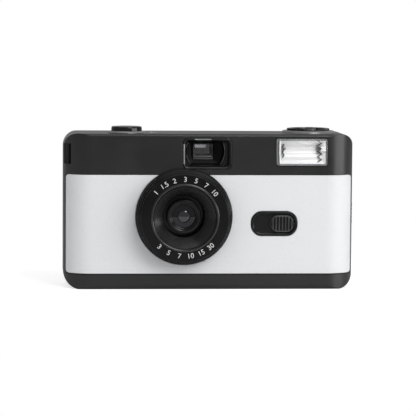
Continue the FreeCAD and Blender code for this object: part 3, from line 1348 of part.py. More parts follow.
def dish_block(name, grow):
    """The reflector trough: a steep lip, then a shallow taper back to the tube."""
    lip_y = inner_front - s.seam_gap - s.dish_wall
    end_y = dish_mouth_y + s.dish_depth
    half_throat = s.dish_throat / 2 - s.dish_wall + grow
    half_back = s.dish_back / 2 - s.dish_wall + grow
    mouth = ((dish_x[0] + s.dish_wall - grow, dish_x[1] - s.dish_wall + grow),
             (dish_z[0] + s.dish_wall - grow, dish_z[1] - s.dish_wall + grow))
    throat_x = (dish_x[0] + 1.2 + s.dish_wall - grow, dish_x[1] - 1.2 - s.dish_wall + grow)
    throat = (throat_x, (s.dish_axis_z - half_throat, s.dish_axis_z + half_throat))
    last_x = (dish_x[0] + 2.4 + s.dish_wall - grow, dish_x[1] - 2.4 - s.dish_wall + grow)
    last = (last_x, (s.dish_axis_z - half_back, s.dish_axis_z + half_back))
    start = dish_mouth_y - (s.seam_gap if grow == 0 else 0)
    middle = lip_y + grow
    lip = frustum(name + "_lip", (start, middle), mouth, throat)
    trough = frustum(name + "_trough", (middle, end_y - s.dish_wall + grow), throat, last)
    return fuse(name, lip, trough)


def make_reflector():
    keep("flash_reflector", cut("flash_reflector", dish_block("dish_outer", s.dish_wall),
                                dish_block("dish_inner", 0),
                                tube_holes()))


tube_y = dish_mouth_y + s.dish_depth - s.dish_wall - s.tube_r * 1.6


def tube_holes():
    return rod("tube_holes", "x", (tube_y, s.dish_axis_z), s.tube_r + s.seam_gap,
               (dish_x[0] - 1, dish_x[1] + 1))


def make_flash_tube():
    keep("flash_tube", rod("flash_tube", "x", (tube_y, s.dish_axis_z), s.tube_r, dish_x))


# Electronics
def make_board():
    x = (board_left, board_left + s.board_width)
    base = box("board_base", x, (board_y, board_y + s.board_thick),
               (s.board_bottom, s.board_bottom + s.board_height))
    keep("circuit_board", base)


def make_capacitor():
    y = (s.capacitor_y, s.capacitor_y + s.capacitor_length)
    r = s.capacitor_r
    profile = [(0, y[0]), (r - 0.4, y[0]), (r, y[0] + 0.4), (r, y[1] - 2.4), (r - 0.4, y[1] - 2.0),
               (r, y[1] - 1.6),
               (r, y[1] - 0.4), (r - 0.4, y[1]), (0, y[1])]
    keep("flash_capacitor", turned("flash_capacitor", "y", (cell_x, s.capacitor_z), profile))


def make_battery():
    can = rod("battery_can", "z", cell_at, s.cell_r, (cell_low, cell_high))
    nub = rod("battery_nub", "z", cell_at, s.cell_nub_r, (cell_high, cell_high + s.cell_nub))
    keep("battery", fuse("battery", can, nub))


def make_contacts():
    r = s.cell_r * 0.7
    low = cell_high + s.cell_nub
    keep("battery_top_contact", box("battery_top_contact", (cell_x - r, cell_x + r),
                                    (s.cell_y - r, s.cell_y + r),
                                    (low + s.seam_gap / 2, low + s.seam_gap / 2 + s.contact_thick)))
    rise = cell_low - s.wall
    t = s.contact_thick
    points = [(cell_x - r, s.wall + s.seam_gap), (cell_x + r, s.wall + s.seam_gap),
              (cell_x + r, s.wall + s.seam_gap + t), (cell_x - r + 2, s.wall + s.seam_gap + t),
              (cell_x - 0.6, s.wall + rise - s.seam_gap - t), (cell_x + 2.4, s.wall + rise - s.seam_gap - t),
              (cell_x + 2.4, s.wall + rise - s.seam_gap), (cell_x - 0.9, s.wall + rise - s.seam_gap),
              (cell_x - r, s.wall + s.seam_gap + t * 1.6)]
    keep("battery_spring", plate("battery_spring", "XZ_Plane", (s.cell_y - 2, s.cell_y + 2), points))


lid_thick = s.wall - s.seam_gap
lid_hinge = (s.battery_door_y + lid_thick / 2, lid_thick / 2)


def lid_stubs(name, radius, length):
    x = battery_door_x(length)
    return rod(name, "x", lid_hinge, radius, x)


def make_battery_door():
    """A lid with a round edge that turns on two stubs."""
    lid = box("battery_lid", battery_door_x(0), (lid_hinge[0], battery_door_y(0)[1]), (0, lid_thick))
    edge = rod("battery_lid_edge", "x", lid_hinge, lid_thick / 2, battery_door_x(0))
    grip = rod("battery_lid_grip", "x", (battery_door_y(0)[1] - s.wall, -s.screw_head / 2), s.screw_head,
               (cell_x - s.battery_door_w / 4, cell_x + s.battery_door_w / 4))
    solid = fuse("battery_lid_solid", lid, edge, lid_stubs("battery_lid_stubs", s.door_stub_r, s.door_stub))
    keep("battery_door", cut("battery_door", solid, grip))


# Flash switch
switch_floor_y = front + s.switch_recess
knob_x = (switch_right - s.switch_rim - s.knob_gap - s.knob_width,
          switch_right - s.switch_rim - s.knob_gap)
knob_mid_x = (knob_x[0] + knob_x[1]) / 2
switch_z = (s.switch_bottom + s.switch_top) / 2


def make_switch_bezel():
    rim = s.switch_rim
    outer = switch_outline("switch_outer", -s.seam_gap,
                           (front - s.switch_proud, switch_floor_y + s.switch_floor))
    hollow = plate("switch_hollow", "XZ_Plane", (front - s.past, switch_floor_y),
                   ((switch_left + rim, switch_right - rim),
                    (s.switch_bottom + rim, s.switch_top - rim)),
                   s.switch_round - rim)
    slot = box("switch_slot", (knob_mid_x - s.stem_half - s.knob_gap - s.knob_travel,
                               knob_mid_x + s.stem_half + s.knob_gap),
               (front - s.past, far / 8), (switch_z - 0.9 - s.knob_gap, switch_z + 0.9 + s.knob_gap))
    keep("switch_bezel", cut("switch_bezel", outer, hollow, slot))


def make_switch_knob():
    half = s.knob_height / 2
    block = plate("knob_block", "XZ_Plane", (front - s.knob_proud, switch_floor_y - s.seam_gap),
                  (knob_x, (switch_z - half, switch_z + half)), s.switch_round - s.switch_rim - s.knob_gap)
    ribs = []
    count = int(float(s.knob_ribs))
    for number in range(count + 1):
        x = knob_mid_x + s.rib_pitch * (number - count / 2)
        ribs.append(box(f"knob_groove_{number}", (x - s.rib_pitch / 4, x + s.rib_pitch / 4),
                        (front - s.knob_proud - 1, front - s.knob_proud + s.rib_depth),
                        (switch_z - half + 0.5, switch_z + half - 0.5)))
    stem = box("knob_stem", (knob_mid_x - s.stem_half, knob_mid_x + s.stem_half),
               (switch_floor_y - s.door_gap, switch_back + stem_past), (switch_z - 0.9, switch_z + 0.9))
    apron = box("knob_apron", (knob_mid_x - apron_half, knob_mid_x + apron_half), apron_y,
                (switch_z - s.apron_height / 2, switch_z + s.apron_height / 2))
    keep("switch_knob", fuse("switch_knob", cut("knob_ribbed", block, *ribs), stem, apron))


switch_back = switch_floor_y + s.switch_floor
stem_past = s.apron_thick * 2
apron_y = (switch_back + s.seam_gap * 2, switch_back + s.seam_gap * 2 + s.apron_thick)
apron_half = s.knob_travel + s.stem_half + s.apron_thick


def make_switch_contact():
    y = (switch_back + stem_past + s.seam_gap, switch_back + stem_past + s.seam_gap + s.contact_thick)
    keep("switch_contact", box("switch_contact", (knob_mid_x - 1.6, knob_mid_x + 1.6), y,
                               (switch_z - 3, switch_z + 3)))


def make_transformer():
    x = board_left + s.wall
    z = s.board_bottom + s.board_height - s.coil_height
    y = board_y + s.board_thick + s.seam_gap
    keep("flash_transformer", plate("flash_transformer", "XY_Plane",
                                    (z - s.wall, z - s.wall + s.coil_height),
                                    ((x, x + s.coil_width), (y, y + s.coil_depth)), 0.8))


def make_ready_lamp():
    profile = [(0, inner_back - 2.6), (s.lamp_r, inner_back - 2.6), (s.lamp_r, back - 0.5),
               (s.lamp_r * 0.7, back - 0.1), (0, back - s.seam_gap)]
    keep("ready_lamp", turned("ready_lamp", "y", (s.lamp_x, s.lamp_z), profile))


# Shutter button
button_top = s.body_height + s.button_proud
button_under = deck_under - s.door_gap


def make_shutter_button():
    r = s.button_r
    low = button_under - s.button_flange
    profile = [(0, s.button_stem_low), (s.button_stem_r, s.button_stem_low), (s.button_stem_r, low),
               (s.button_flange_r, low), (s.button_flange_r, button_under), (r, button_under),
               (r, button_top - 0.5), (r - 0.15, button_top - 0.2), (r - 0.5, button_top),
               (r * 0.6, button_top - 0.12), (0, button_top - 0.3)]
    keep("shutter_button", turned("shutter_button", "z", button_at, profile))


def make_button_collar():
    top = s.body_height + s.collar_high
    inner = s.button_r + s.pin_gap
    profile = [(inner, s.body_height + s.seam_gap), (s.collar_r, s.body_height + s.seam_gap),
               (s.collar_r - 0.3, top - 0.2), (s.collar_r - 0.6, top), (inner, top)]
    keep("button_collar", turned("button_collar", "z", button_at, profile))


def make_button_spring():
    low = s.button_stem_low + s.guide_gap + s.guide_thick + s.seam_gap
    high = button_under - s.button_flange - s.seam_gap
    keep("button_spring", tube("button_spring", "z", button_at, s.button_stem_r + 0.5, s.button_stem_r + 0.1,
                               (low, high)))


# Rewind
platform_top = s.body_height + s.platform_high
disc_low = platform_top + s.disc_gap
disc_top = disc_low + s.disc_thick
arm_low = disc_top - s.arm_thick
arm_back = s.chamber_y + s.disc_r - 1.4
arm_front = arm_back - s.arm_length
arm_pivot = (arm_back - s.arm_thick / 2, disc_top - s.arm_thick / 2)
handle_at = (chamber_x, arm_front + s.handle_r + 0.3)


def make_rewind_bush():
    keep("rewind_bush", tube("rewind_bush", "z", rewind_at, s.bush_r, s.axle_r + s.pin_gap,
                             (deck_under - 1.2, platform_top - s.seam_gap)))


def make_rewind_shaft():
    shaft = rod("rewind_rod", "z", rewind_at, s.axle_r, (s.fork_low, disc_low - s.seam_gap))
    gap = box("fork_gap", (chamber_x - 0.6, chamber_x + 0.6), (s.chamber_y - 5, s.chamber_y + 5),
              (s.fork_low - 1, s.fork_low + 3.2))
    keep("rewind_shaft", cut("rewind_shaft", shaft, gap))


def make_rewind_disc():
    z = (disc_low, disc_top)
    disc = notched_wheel("disc_rim", rewind_at, s.disc_r, z, 48, 0.25, 0.3)
    well = box("arm_well", (chamber_x - s.arm_width / 2 - s.door_gap,
                            chamber_x + s.arm_width / 2 + s.door_gap),
               (arm_front - s.door_gap, s.chamber_y + s.disc_r + 1),
               (arm_low - s.door_gap / 2, disc_top + 1))
    keep("rewind_disc", cut("rewind_disc", disc, well))


def make_crank():
    half = s.arm_width / 2
    arm = plate("crank_arm", "XY_Plane", (arm_low, disc_top), ((chamber_x - half, chamber_x + half),
                                                               (arm_front, arm_pivot[0])),
                                                               (half * 0.9, half * 0.9, 0.2, 0.2))
    hub = rod("crank_hub", "x", arm_pivot, s.arm_thick / 2, (chamber_x - half, chamber_x + half))
    bore = rod("crank_bore", "x", arm_pivot, s.arm_thick / 4 + s.pin_gap / 2,
               (chamber_x - half - 1, chamber_x + half + 1))
    post = rod("handle_post_hole", "z", handle_at, s.handle_r / 2 + s.pin_gap, (arm_low - 1, disc_top + 1))
    keep("rewind_crank", cut("rewind_crank", fuse("crank_solid", arm, hub), bore, post))


def make_crank_pin():
    half = s.arm_width / 2 + s.door_gap / 2
    keep("crank_pin", rod("crank_pin", "x", arm_pivot, s.arm_thick / 4,
                          (chamber_x - half, chamber_x + half)))


def make_crank_handle():
    r = s.handle_r
    top = disc_top + s.handle_high
    profile = [(0, arm_low + s.seam_gap), (r / 2, arm_low + s.seam_gap), (r / 2, disc_top + s.seam_gap),
               (r, disc_top + s.seam_gap), (r, top - 0.2), (r - 0.2, top), (0, top)]
    keep("crank_handle", turned("crank_handle", "z", handle_at, profile))


def make_rewind_release():
    rest = s.release_travel * 0.3
    flange = s.release_r + s.release_flange
    profile = [(0, 0.15), (s.release_r - 0.2, 0.15), (s.release_r, 0.35), (s.release_r, s.wall + rest),
               (flange, s.wall + rest), (flange, s.wall + rest * 3), (0, s.wall + rest * 3)]
    keep("rewind_release", turned("rewind_release", "z", (release_x, s.release_y), profile))


PIECES = [
    make_front_cover, make_top_cover, make_main_body, make_front_panel, make_case_screws, make_strap_bar,
    make_back_door, make_hinge_pin, make_film_window, make_pressure_plate, make_pressure_spring,
    make_door_latch, make_latch_spring,
    make_lens_ring, make_lens_cone, make_lens_barrel, make_lens_retainer, make_front_lens,
    make_aperture_stop,
    make_shutter_blade, make_shutter_plate, make_rear_lens, make_release_lever, make_lever_pin,
    make_advance_wheel, make_take_up_spool, make_sprocket, make_counter_dial, make_dial_post,
    make_counter_window,
    make_finder_bezel, make_finder_lens, make_finder_tube, make_eyepiece,
    make_flash_window, make_reflector, make_flash_tube, make_board, make_transformer, make_capacitor,
    make_battery, make_contacts, make_battery_door, make_ready_lamp,
    make_switch_bezel, make_switch_knob, make_switch_contact,
    make_shutter_button, make_button_collar, make_button_spring,
    make_rewind_bush, make_rewind_shaft, make_rewind_disc, make_crank, make_crank_pin, make_crank_handle,
    make_rewind_release,
]


def check_objects():
    """Stops before anything is written if a feature failed or a shape isn't sound."""
    for item in doc.Objects:
        if "Invalid" in item.State or "Error" in item.State:
            raise ValueError(item.Label + ": " + " ".join(item.State))
    for name, item in made.items():
        if item.Shape.isNull() or not item.Shape.isValid():
            raise ValueError(name + ": its shape isn't sound")
        if not item.Shape.Solids:
            raise ValueError(name + ": it holds no solid")


for make in PIECES:
    make()
doc.recompute()
check_objects()

os.makedirs("parts", exist_ok=True)
for name, item in made.items():
    item.Shape.exportStep(os.path.join("parts", name + ".step"))
    print(f"{name:22s} {len(item.Shape.Solids)} solid(s) {item.Shape.Volume:10.2f} mm3")
print(len(made), "sub-parts")
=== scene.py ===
import bpy, bmesh, json
from math import cos, hypot, pi, radians, sin, sqrt
from mathutils import Vector, Matrix

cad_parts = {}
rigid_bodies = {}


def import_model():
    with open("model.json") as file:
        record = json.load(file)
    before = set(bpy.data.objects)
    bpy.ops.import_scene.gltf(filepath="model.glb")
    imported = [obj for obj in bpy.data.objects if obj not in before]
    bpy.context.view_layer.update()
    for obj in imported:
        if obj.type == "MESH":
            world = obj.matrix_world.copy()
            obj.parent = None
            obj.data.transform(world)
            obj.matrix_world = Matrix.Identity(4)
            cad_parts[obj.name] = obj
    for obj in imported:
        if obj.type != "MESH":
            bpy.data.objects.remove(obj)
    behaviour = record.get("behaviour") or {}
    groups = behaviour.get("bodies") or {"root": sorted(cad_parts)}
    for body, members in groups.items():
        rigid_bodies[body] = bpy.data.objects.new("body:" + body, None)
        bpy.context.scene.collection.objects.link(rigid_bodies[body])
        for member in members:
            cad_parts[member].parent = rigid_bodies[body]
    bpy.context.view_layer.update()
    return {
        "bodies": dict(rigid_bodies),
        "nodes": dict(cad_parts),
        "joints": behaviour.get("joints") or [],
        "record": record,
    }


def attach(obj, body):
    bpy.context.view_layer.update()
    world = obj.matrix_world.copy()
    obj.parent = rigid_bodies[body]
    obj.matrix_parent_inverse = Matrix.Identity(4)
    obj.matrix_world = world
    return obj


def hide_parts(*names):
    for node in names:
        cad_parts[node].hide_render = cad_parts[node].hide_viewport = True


# Compact film camera, dressed for the picture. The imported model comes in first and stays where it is.
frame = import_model()
cad = frame["nodes"]
mm = 0.001
print("loaded", len(cad), "packed pieces")


def newObject(name, data):
    thing = bpy.data.objects.new(name, data)
    bpy.context.scene.collection.objects.link(thing)
    return thing


# camera and picture
shot = {"azimuth": -4.4, "elevation": 4.6, "distance": 900.0, "target": (-0.81, -14.25, 32.06),
        "roll": 0.4, "lens": 199.2, "sensor": 36.0, "clip": (0.05, 20.0)}


def placeCamera(s):
    data = bpy.data.cameras.new("shotCamera")
    cam = newObject("shotCamera", data)
    a, e = radians(s["azimuth"]), radians(s["elevation"])
    back = Vector((sin(a) * cos(e), -cos(a) * cos(e), sin(e)))
    cam.location = (Vector(s["target"]) + back * s["distance"]) * mm
    cam.rotation_mode = "QUATERNION"
    turn = (-back).to_track_quat("-Z", "Y")
    cam.rotation_quaternion = turn @ Matrix.Rotation(radians(s["roll"]), 4, "Z").to_quaternion()
    data.lens, data.sensor_width = s["lens"], s["sensor"]
    data.clip_start, data.clip_end = s["clip"]
    bpy.context.scene.camera = cam


placeCamera(shot)


# finishes
def newFinish(name):
    mat = bpy.data.materials.new(name)
    mat.use_nodes = True
    tree = mat.node_tree
    shader = tree.nodes["Principled BSDF"]
    return mat, tree, shader


def feed(tree, node, inputs):
    # a socket is linked, anything else is set as a value
    for key, value in inputs.items():
        if isinstance(value, bpy.types.NodeSocket):
            tree.links.new(value, node.inputs[key])
        else:
            node.inputs[key].default_value = value


def addNode(tree, kind, inputs=None, **values):
    node = tree.nodes.new(kind)
    for key, value in values.items():
        setattr(node, key, value)
    feed(tree, node, inputs or {})
    return node


def grainMap(tree, scale=(1, 1, 1), turn=(0, 0, 0)):
    # object space, so that a grain stays on its piece
    coords = addNode(tree, "ShaderNodeTexCoord")
    inputs = {"Vector": coords.outputs["Object"], "Scale": scale, "Rotation": turn}
    return addNode(tree, "ShaderNodeMapping", inputs).outputs["Vector"]


def noise(tree, vector, scale, detail=2.0, rough=0.5):
    inputs = {"Vector": vector, "Scale": scale, "Detail": detail, "Roughness": rough}
    return addNode(tree, "ShaderNodeTexNoise", inputs).outputs["Fac"]


def remap(tree, value, low, high, fromLow=0.3, fromHigh=0.7):
    inputs = {"Value": value, "From Min": fromLow, "From Max": fromHigh, "To Min": low, "To Max": high}
    return addNode(tree, "ShaderNodeMapRange", inputs).outputs["Result"]


def blendColours(tree, factor, first, second):
    inputs = {"Factor": factor, "A": (*first, 1), "B": (*second, 1)}
    return addNode(tree, "ShaderNodeMix", inputs, data_type="RGBA").outputs["Result"]


def calculate(tree, operation, *values):
    return addNode(tree, "ShaderNodeMath", dict(enumerate(values)), operation=operation).outputs["Value"]


def mixShaders(tree, factor, first, second):
    return addNode(tree, "ShaderNodeMixShader", {0: factor, 1: first, 2: second}).outputs[0]


def addRelief(tree, shader, heights, s):
    inputs = {"Height": heights, "Strength": s["bump"], "Distance": s["depth"] * mm}
    if s["edge"]:
        soft = addNode(tree, "ShaderNodeBevel", {"Radius": s["edge"] * mm}, samples=6)
        inputs["Normal"] = soft.outputs["Normal"]
    bump = addNode(tree, "ShaderNodeBump", inputs)
    feed(tree, shader, {"Normal": bump.outputs["Normal"]})


def paintSurface(tree, shader, pattern, s):
    # one pattern drives the colour and the roughness
    colour = blendColours(tree, remap(tree, pattern, 0, 1), s["colour"], s["worn"])
    feed(tree, shader, {"Base Color": colour, "Roughness": remap(tree, pattern, *s["rough"])})


plasticGrain = {"grain": 2600.0, "patch": 200.0, "bump": 0.05, "depth": 0.01, "edge": 0.0}
metalGrain = {"draw": (1, 1, 1), "grain": 500.0, "bump": 0.1, "depth": 0.01, "edge": 0.0, "metal": 1.0}
clearFilm = {"grain": 300.0, "clear": 1.0}


def mouldedPlastic(name, s):
    # fine spark-eroded grain, slightly patchy gloss
    s = {**plasticGrain, **s}
    mat, tree, shader = newFinish(name)
    place = grainMap(tree)
    fine = noise(tree, place, s["grain"], 3.0, 0.6)
    paintSurface(tree, shader, noise(tree, place, s["patch"]), s)
    feed(tree, shader, {"Specular IOR Level": s["gloss"]})
    addRelief(tree, shader, fine, s)
    return mat


def leatherSkin(name, s):
    # fine creased grain running down to the right, as pressed into a thin skin
    mat, tree, shader = newFinish(name)
    leaning = grainMap(tree, turn=(0, radians(s["lean"]), 0))
    stretch = addNode(tree, "ShaderNodeMapping", {"Vector": leaning, "Scale": (1, 1, s["stretch"])})
    place = stretch.outputs["Vector"]
    drift = addNode(tree, "ShaderNodeTexNoise", {"Vector": place, "Scale": s["drift"]})
    inputs = {"Factor": s["wander"], "A": place, "B": drift.outputs["Color"]}
    wander = addNode(tree, "ShaderNodeMix", inputs, data_type="VECTOR")
    inputs = {"Vector": wander.outputs["Result"], "Scale": s["cell"]}
    cells = addNode(tree, "ShaderNodeTexVoronoi", inputs, feature="DISTANCE_TO_EDGE")
    crease = remap(tree, cells.outputs["Distance"], 0, 1, 0.0, s["creaseWidth"])
    fine = noise(tree, place, s["fine"], 4.0, 0.65)
    heights = calculate(tree, "MULTIPLY_ADD", fine, s["fineShare"], crease)
    # the creases are painted a little darker, painted shade on top of their relief
    colour = blendColours(tree, crease, s["creaseShadeColour"], s["colour"])
    feed(tree, shader, {"Base Color": colour, "Roughness": remap(tree, fine, *s["rough"]),
                        "Specular IOR Level": s["gloss"]})
    addRelief(tree, shader, heights, s)
    return mat


def bareMetal(name, s):
    s = {**metalGrain, **s}
    mat, tree, shader = newFinish(name)
    lines = noise(tree, grainMap(tree, s["draw"]), s["grain"], 4.0, 0.6)
    paintSurface(tree, shader, lines, s)
    feed(tree, shader, {"Metallic": s["metal"]})
    addRelief(tree, shader, lines, s)
    return mat


def clearPlastic(name, s):
    # clear to the eye, and it lets the studio light through to what lies behind it
    s = {**clearFilm, **s}
    mat, tree, shader = newFinish(name)
    film = noise(tree, grainMap(tree), s["grain"])
    feed(tree, shader, {"Base Color": (*s["colour"], 1), "Roughness": remap(tree, film, *s["rough"]),
                        "Transmission Weight": s["clear"], "IOR": s["ior"]})
    through = addNode(tree, "ShaderNodeBsdfTransparent", {"Color": (*s["shade"], 1)})
    ray = addNode(tree, "ShaderNodeLightPath")
    pick = mixShaders(tree, ray.outputs["Is Shadow Ray"], shader.outputs["BSDF"], through.outputs["BSDF"])
    feed(tree, tree.nodes["Material Output"], {"Surface": pick})
    return mat


caseBlack = mouldedPlastic("caseBlack", {
    "colour": (0.006, 0.006, 0.0065), "worn": (0.008, 0.008, 0.0085), "rough": (0.28, 0.36),
    "gloss": 0.72, "grain": 5200.0, "patch": 90.0, "bump": 0.22, "depth": 0.02, "edge": 0.22})
shinyBlack = mouldedPlastic("shinyBlack", {
    "colour": (0.005, 0.005, 0.0055), "worn": (0.007, 0.007, 0.0075), "rough": (0.14, 0.20), "gloss": 0.4,
    "patch": 120.0, "edge": 0.10})
# crank, crank handle and finder sill: painted mid grey, as painted highlight on black plastic
crankSheenGrey = mouldedPlastic("crankSheenGrey", {
    "colour": (0.070, 0.070, 0.071), "worn": (0.090, 0.090, 0.091), "rough": (0.25, 0.35), "gloss": 0.6,
    "patch": 300.0, "bump": 0.08, "edge": 0.10})
insideBlack = mouldedPlastic("insideBlack", {
    "colour": (0.008, 0.008, 0.008), "worn": (0.012, 0.012, 0.012), "rough": (0.55, 0.7), "gloss": 0.3,
    "grain": 3500.0, "patch": 150.0, "bump": 0.3, "depth": 0.03, "edge": 0.10})
dialWhite = mouldedPlastic("dialWhite", {
    "colour": (0.78, 0.78, 0.76), "worn": (0.72, 0.72, 0.70), "rough": (0.4, 0.5), "gloss": 0.5,
    "grain": 3000.0, "bump": 0.08, "edge": 0.05})
lampRed = mouldedPlastic("lampRed", {
    "colour": (0.42, 0.05, 0.03), "worn": (0.5, 0.08, 0.05), "rough": (0.12, 0.2), "gloss": 0.6,
    "grain": 900.0, "edge": 0.05})
boardGreen = mouldedPlastic("boardGreen", {
    "colour": (0.03, 0.12, 0.07), "worn": (0.05, 0.16, 0.09), "rough": (0.35, 0.5), "gloss": 0.5,
    "grain": 1500.0, "patch": 400.0, "bump": 0.15, "depth": 0.02})
printWhite = mouldedPlastic("printWhite", {
    "colour": (0.75, 0.75, 0.74), "worn": (0.62, 0.62, 0.62), "rough": (0.45, 0.6), "gloss": 0.3,
    "grain": 5000.0, "patch": 700.0, "bump": 0.1, "depth": 0.005})
# the crease colour is a little darker, painted shade in the creases
panelSkin = leatherSkin("panelSkin", {
    "colour": (0.775, 0.785, 0.80), "creaseShadeColour": (0.735, 0.745, 0.76), "rough": (0.42, 0.56),
    "gloss": 0.4, "lean": 32.0, "stretch": 2.4, "cell": 1000.0, "creaseWidth": 0.16, "drift": 800.0,
    "wander": 0.0006, "fine": 2400.0, "fineShare": 0.4, "bump": 0.32, "depth": 0.03, "edge": 0.3})
plainSteel = bareMetal("plainSteel", {
    "colour": (0.52, 0.52, 0.53), "worn": (0.40, 0.40, 0.41), "rough": (0.25, 0.4), "draw": (1, 1, 12),
    "edge": 0.05})
springBright = bareMetal("springBright", {
    "colour": (0.62, 0.60, 0.55), "worn": (0.5, 0.48, 0.44), "rough": (0.2, 0.35), "draw": (12, 1, 1),
    "grain": 600.0})
brassStrip = bareMetal("brassStrip", {
    "colour": (0.72, 0.60, 0.32), "worn": (0.55, 0.45, 0.25), "rough": (0.25, 0.4), "draw": (1, 1, 8)})
canSleeve = bareMetal("canSleeve", {
    "colour": (0.16, 0.17, 0.20), "worn": (0.20, 0.21, 0.24), "rough": (0.3, 0.42), "grain": 300.0,
    "bump": 0.08, "edge": 0.05, "metal": 0.4})
dishMirror = bareMetal("dishMirror", {
    "colour": (0.97, 0.97, 0.97), "worn": (0.80, 0.80, 0.805), "rough": (0.25, 0.36),
    "draw": (0.08, 5, 5), "grain": 240.0, "bump": 0.3, "depth": 0.06, "metal": 0.08})
clearWindow = clearPlastic("clearWindow", {
    "colour": (0.99, 0.99, 0.99), "rough": (0.01, 0.05), "ior": 1.46, "shade": (0.97, 0.97, 0.97)})
lensGlass = bareMetal("lensGlass", {
    "colour": (0.050, 0.050, 0.053), "worn": (0.058, 0.058, 0.062), "rough": (0.02, 0.03), "grain": 60.0,
    "bump": 0.0, "depth": 0.002})
# the eyepiece is tinted dark, a painted shade for the dim room seen through it
eyepieceShadeTint = clearPlastic("eyepieceShadeTint", {
    "colour": (0.16, 0.16, 0.17), "rough": (0.01, 0.05), "ior": 1.46, "shade": (0.7, 0.7, 0.7)})
blackSteel = bareMetal("blackSteel", {
    "colour": (0.03, 0.03, 0.03), "worn": (0.05, 0.05, 0.05), "rough": (0.3, 0.4), "draw": (1, 1, 12),
    "edge": 0.05})
tubeGlass = clearPlastic("tubeGlass", {
    "colour": (0.98, 0.98, 0.97), "rough": (0.02, 0.06), "clear": 0.85, "ior": 1.4,
    "shade": (0.95, 0.95, 0.95)})
hoodBlack = mouldedPlastic("hoodBlack", {
    "colour": (0.009, 0.009, 0.0095), "worn": (0.013, 0.013, 0.0135), "rough": (0.17, 0.25), "gloss": 0.8,
    "grain": 4200.0, "patch": 160.0, "bump": 0.15, "depth": 0.02})
finderBlack = mouldedPlastic("finderBlack", {
    "colour": (0.005, 0.005, 0.0055), "worn": (0.007, 0.007, 0.0075), "rough": (0.16, 0.24),
    "gloss": 0.45})
finderMatt = mouldedPlastic("finderMatt", {
    "colour": (0.0035, 0.0035, 0.0038), "worn": (0.005, 0.005, 0.0053), "rough": (0.34, 0.44),
    "gloss": 0.1})
# the window frame is painted a little lighter than the funnel, a painted highlight
finderFrameSheen = mouldedPlastic("finderFrameSheen", {
    "colour": (0.014, 0.014, 0.0145), "worn": (0.020, 0.020, 0.021), "rough": (0.14, 0.22), "gloss": 0.8})
# painted highlight for the bright arcs round the finder's round opening
finderEdgeHighlight = mouldedPlastic("finderEdgeHighlight", {
    "colour": (0.075, 0.075, 0.077), "worn": (0.100, 0.100, 0.102), "rough": (0.14, 0.22), "gloss": 1.0})
knobBlack = mouldedPlastic("knobBlack", {
    "colour": (0.010, 0.010, 0.0105), "worn": (0.014, 0.014, 0.0145), "rough": (0.30, 0.38), "gloss": 0.4,
    "grain": 4200.0, "patch": 300.0, "bump": 0.12, "depth": 0.015})
# painted highlight for the crests and front of the black switch ribs
ribHighlightGrey = mouldedPlastic("ribHighlightGrey", {
    "colour": (0.060, 0.060, 0.061), "worn": (0.075, 0.075, 0.076), "rough": (0.30, 0.38), "gloss": 0.7,
    "grain": 4200.0, "patch": 300.0, "bump": 0.12, "depth": 0.015})
# button collar and rewind foot: painted light grey, as painted reflection of the bright room on black
# plastic
footSheenGrey = mouldedPlastic("footSheenGrey", {
    "colour": (0.12, 0.12, 0.122), "worn": (0.16, 0.16, 0.163), "rough": (0.22, 0.30), "gloss": 0.9,
    "bump": 0.08})
ringBlack = mouldedPlastic("ringBlack", {
    "colour": (0.005, 0.005, 0.0055), "worn": (0.007, 0.007, 0.0075), "rough": (0.15, 0.22), "gloss": 0.2,
    "patch": 120.0})
# painted highlight for the lit edges of the flash cap, its ledge, and the finder's left wall and top lip
capEdgeHighlight = mouldedPlastic("capEdgeHighlight", {
    "colour": (0.20, 0.205, 0.21), "worn": (0.26, 0.265, 0.27), "rough": (0.15, 0.25), "gloss": 0.6,
    "grain": 1200.0, "patch": 300.0})
coatedGlass = bareMetal("coatedGlass", {
    "colour": (0.10, 0.10, 0.105), "worn": (0.12, 0.12, 0.128), "rough": (0.04, 0.05), "grain": 60.0,
    "bump": 0.0, "depth": 0.002})
electrodeGrey = bareMetal("electrodeGrey", {
    "colour": (0.10, 0.10, 0.10), "worn": (0.18, 0.17, 0.16), "rough": (0.4, 0.6), "grain": 900.0,
    "metal": 0.6})
inkBlack = mouldedPlastic("inkBlack", {
    "colour": (0.02, 0.02, 0.02), "worn": (0.04, 0.04, 0.04), "rough": (0.5, 0.6), "gloss": 0.3,
    "grain": 3000.0, "patch": 500.0, "depth": 0.005})
print("finishes ready")

nodeFinish = {
    caseBlack: ["front_cover", "top_cover", "main_body", "back_door", "battery_door", "door_latch",
                "advance_wheel", "rewind_bush", "rewind_release", "button_collar", "switch_knob"],
    # the crank and its handle are painted grey, a painted highlight
    crankSheenGrey: ["rewind_crank", "crank_handle"],
    shinyBlack: ["finder_bezel", "shutter_button", "switch_bezel", "rewind_disc", "lens_ring",
                 "lens_barrel"],
    insideBlack: ["pressure_plate", "aperture_stop", "shutter_plate", "release_lever", "take_up_spool",
                  "sprocket_shaft", "finder_tube", "flash_transformer", "lens_cone", "lens_retainer"],
    panelSkin: ["front_panel"],
    plainSteel: ["case_screws", "hinge_pin", "shutter_blade", "lever_pin", "dial_post", "rewind_shaft",
                 "crank_pin"],
    blackSteel: ["strap_bar"],
    springBright: ["latch_spring", "button_spring", "pressure_spring"],
    brassStrip: ["battery_top_contact", "battery_spring", "switch_contact"],
    canSleeve: ["battery", "flash_capacitor"],
    dialWhite: ["counter_dial"],
    lampRed: ["ready_lamp"],
    boardGreen: ["circuit_board"],
    dishMirror: ["flash_reflector"],
    clearWindow: ["flash_window", "film_window", "counter_window", "finder_front_lens"],
    # the eyepiece tint is painted shade
    eyepieceShadeTint: ["finder_eyepiece"],
    lensGlass: ["front_lens", "rear_lens"],
    tubeGlass: ["flash_tube"],
}


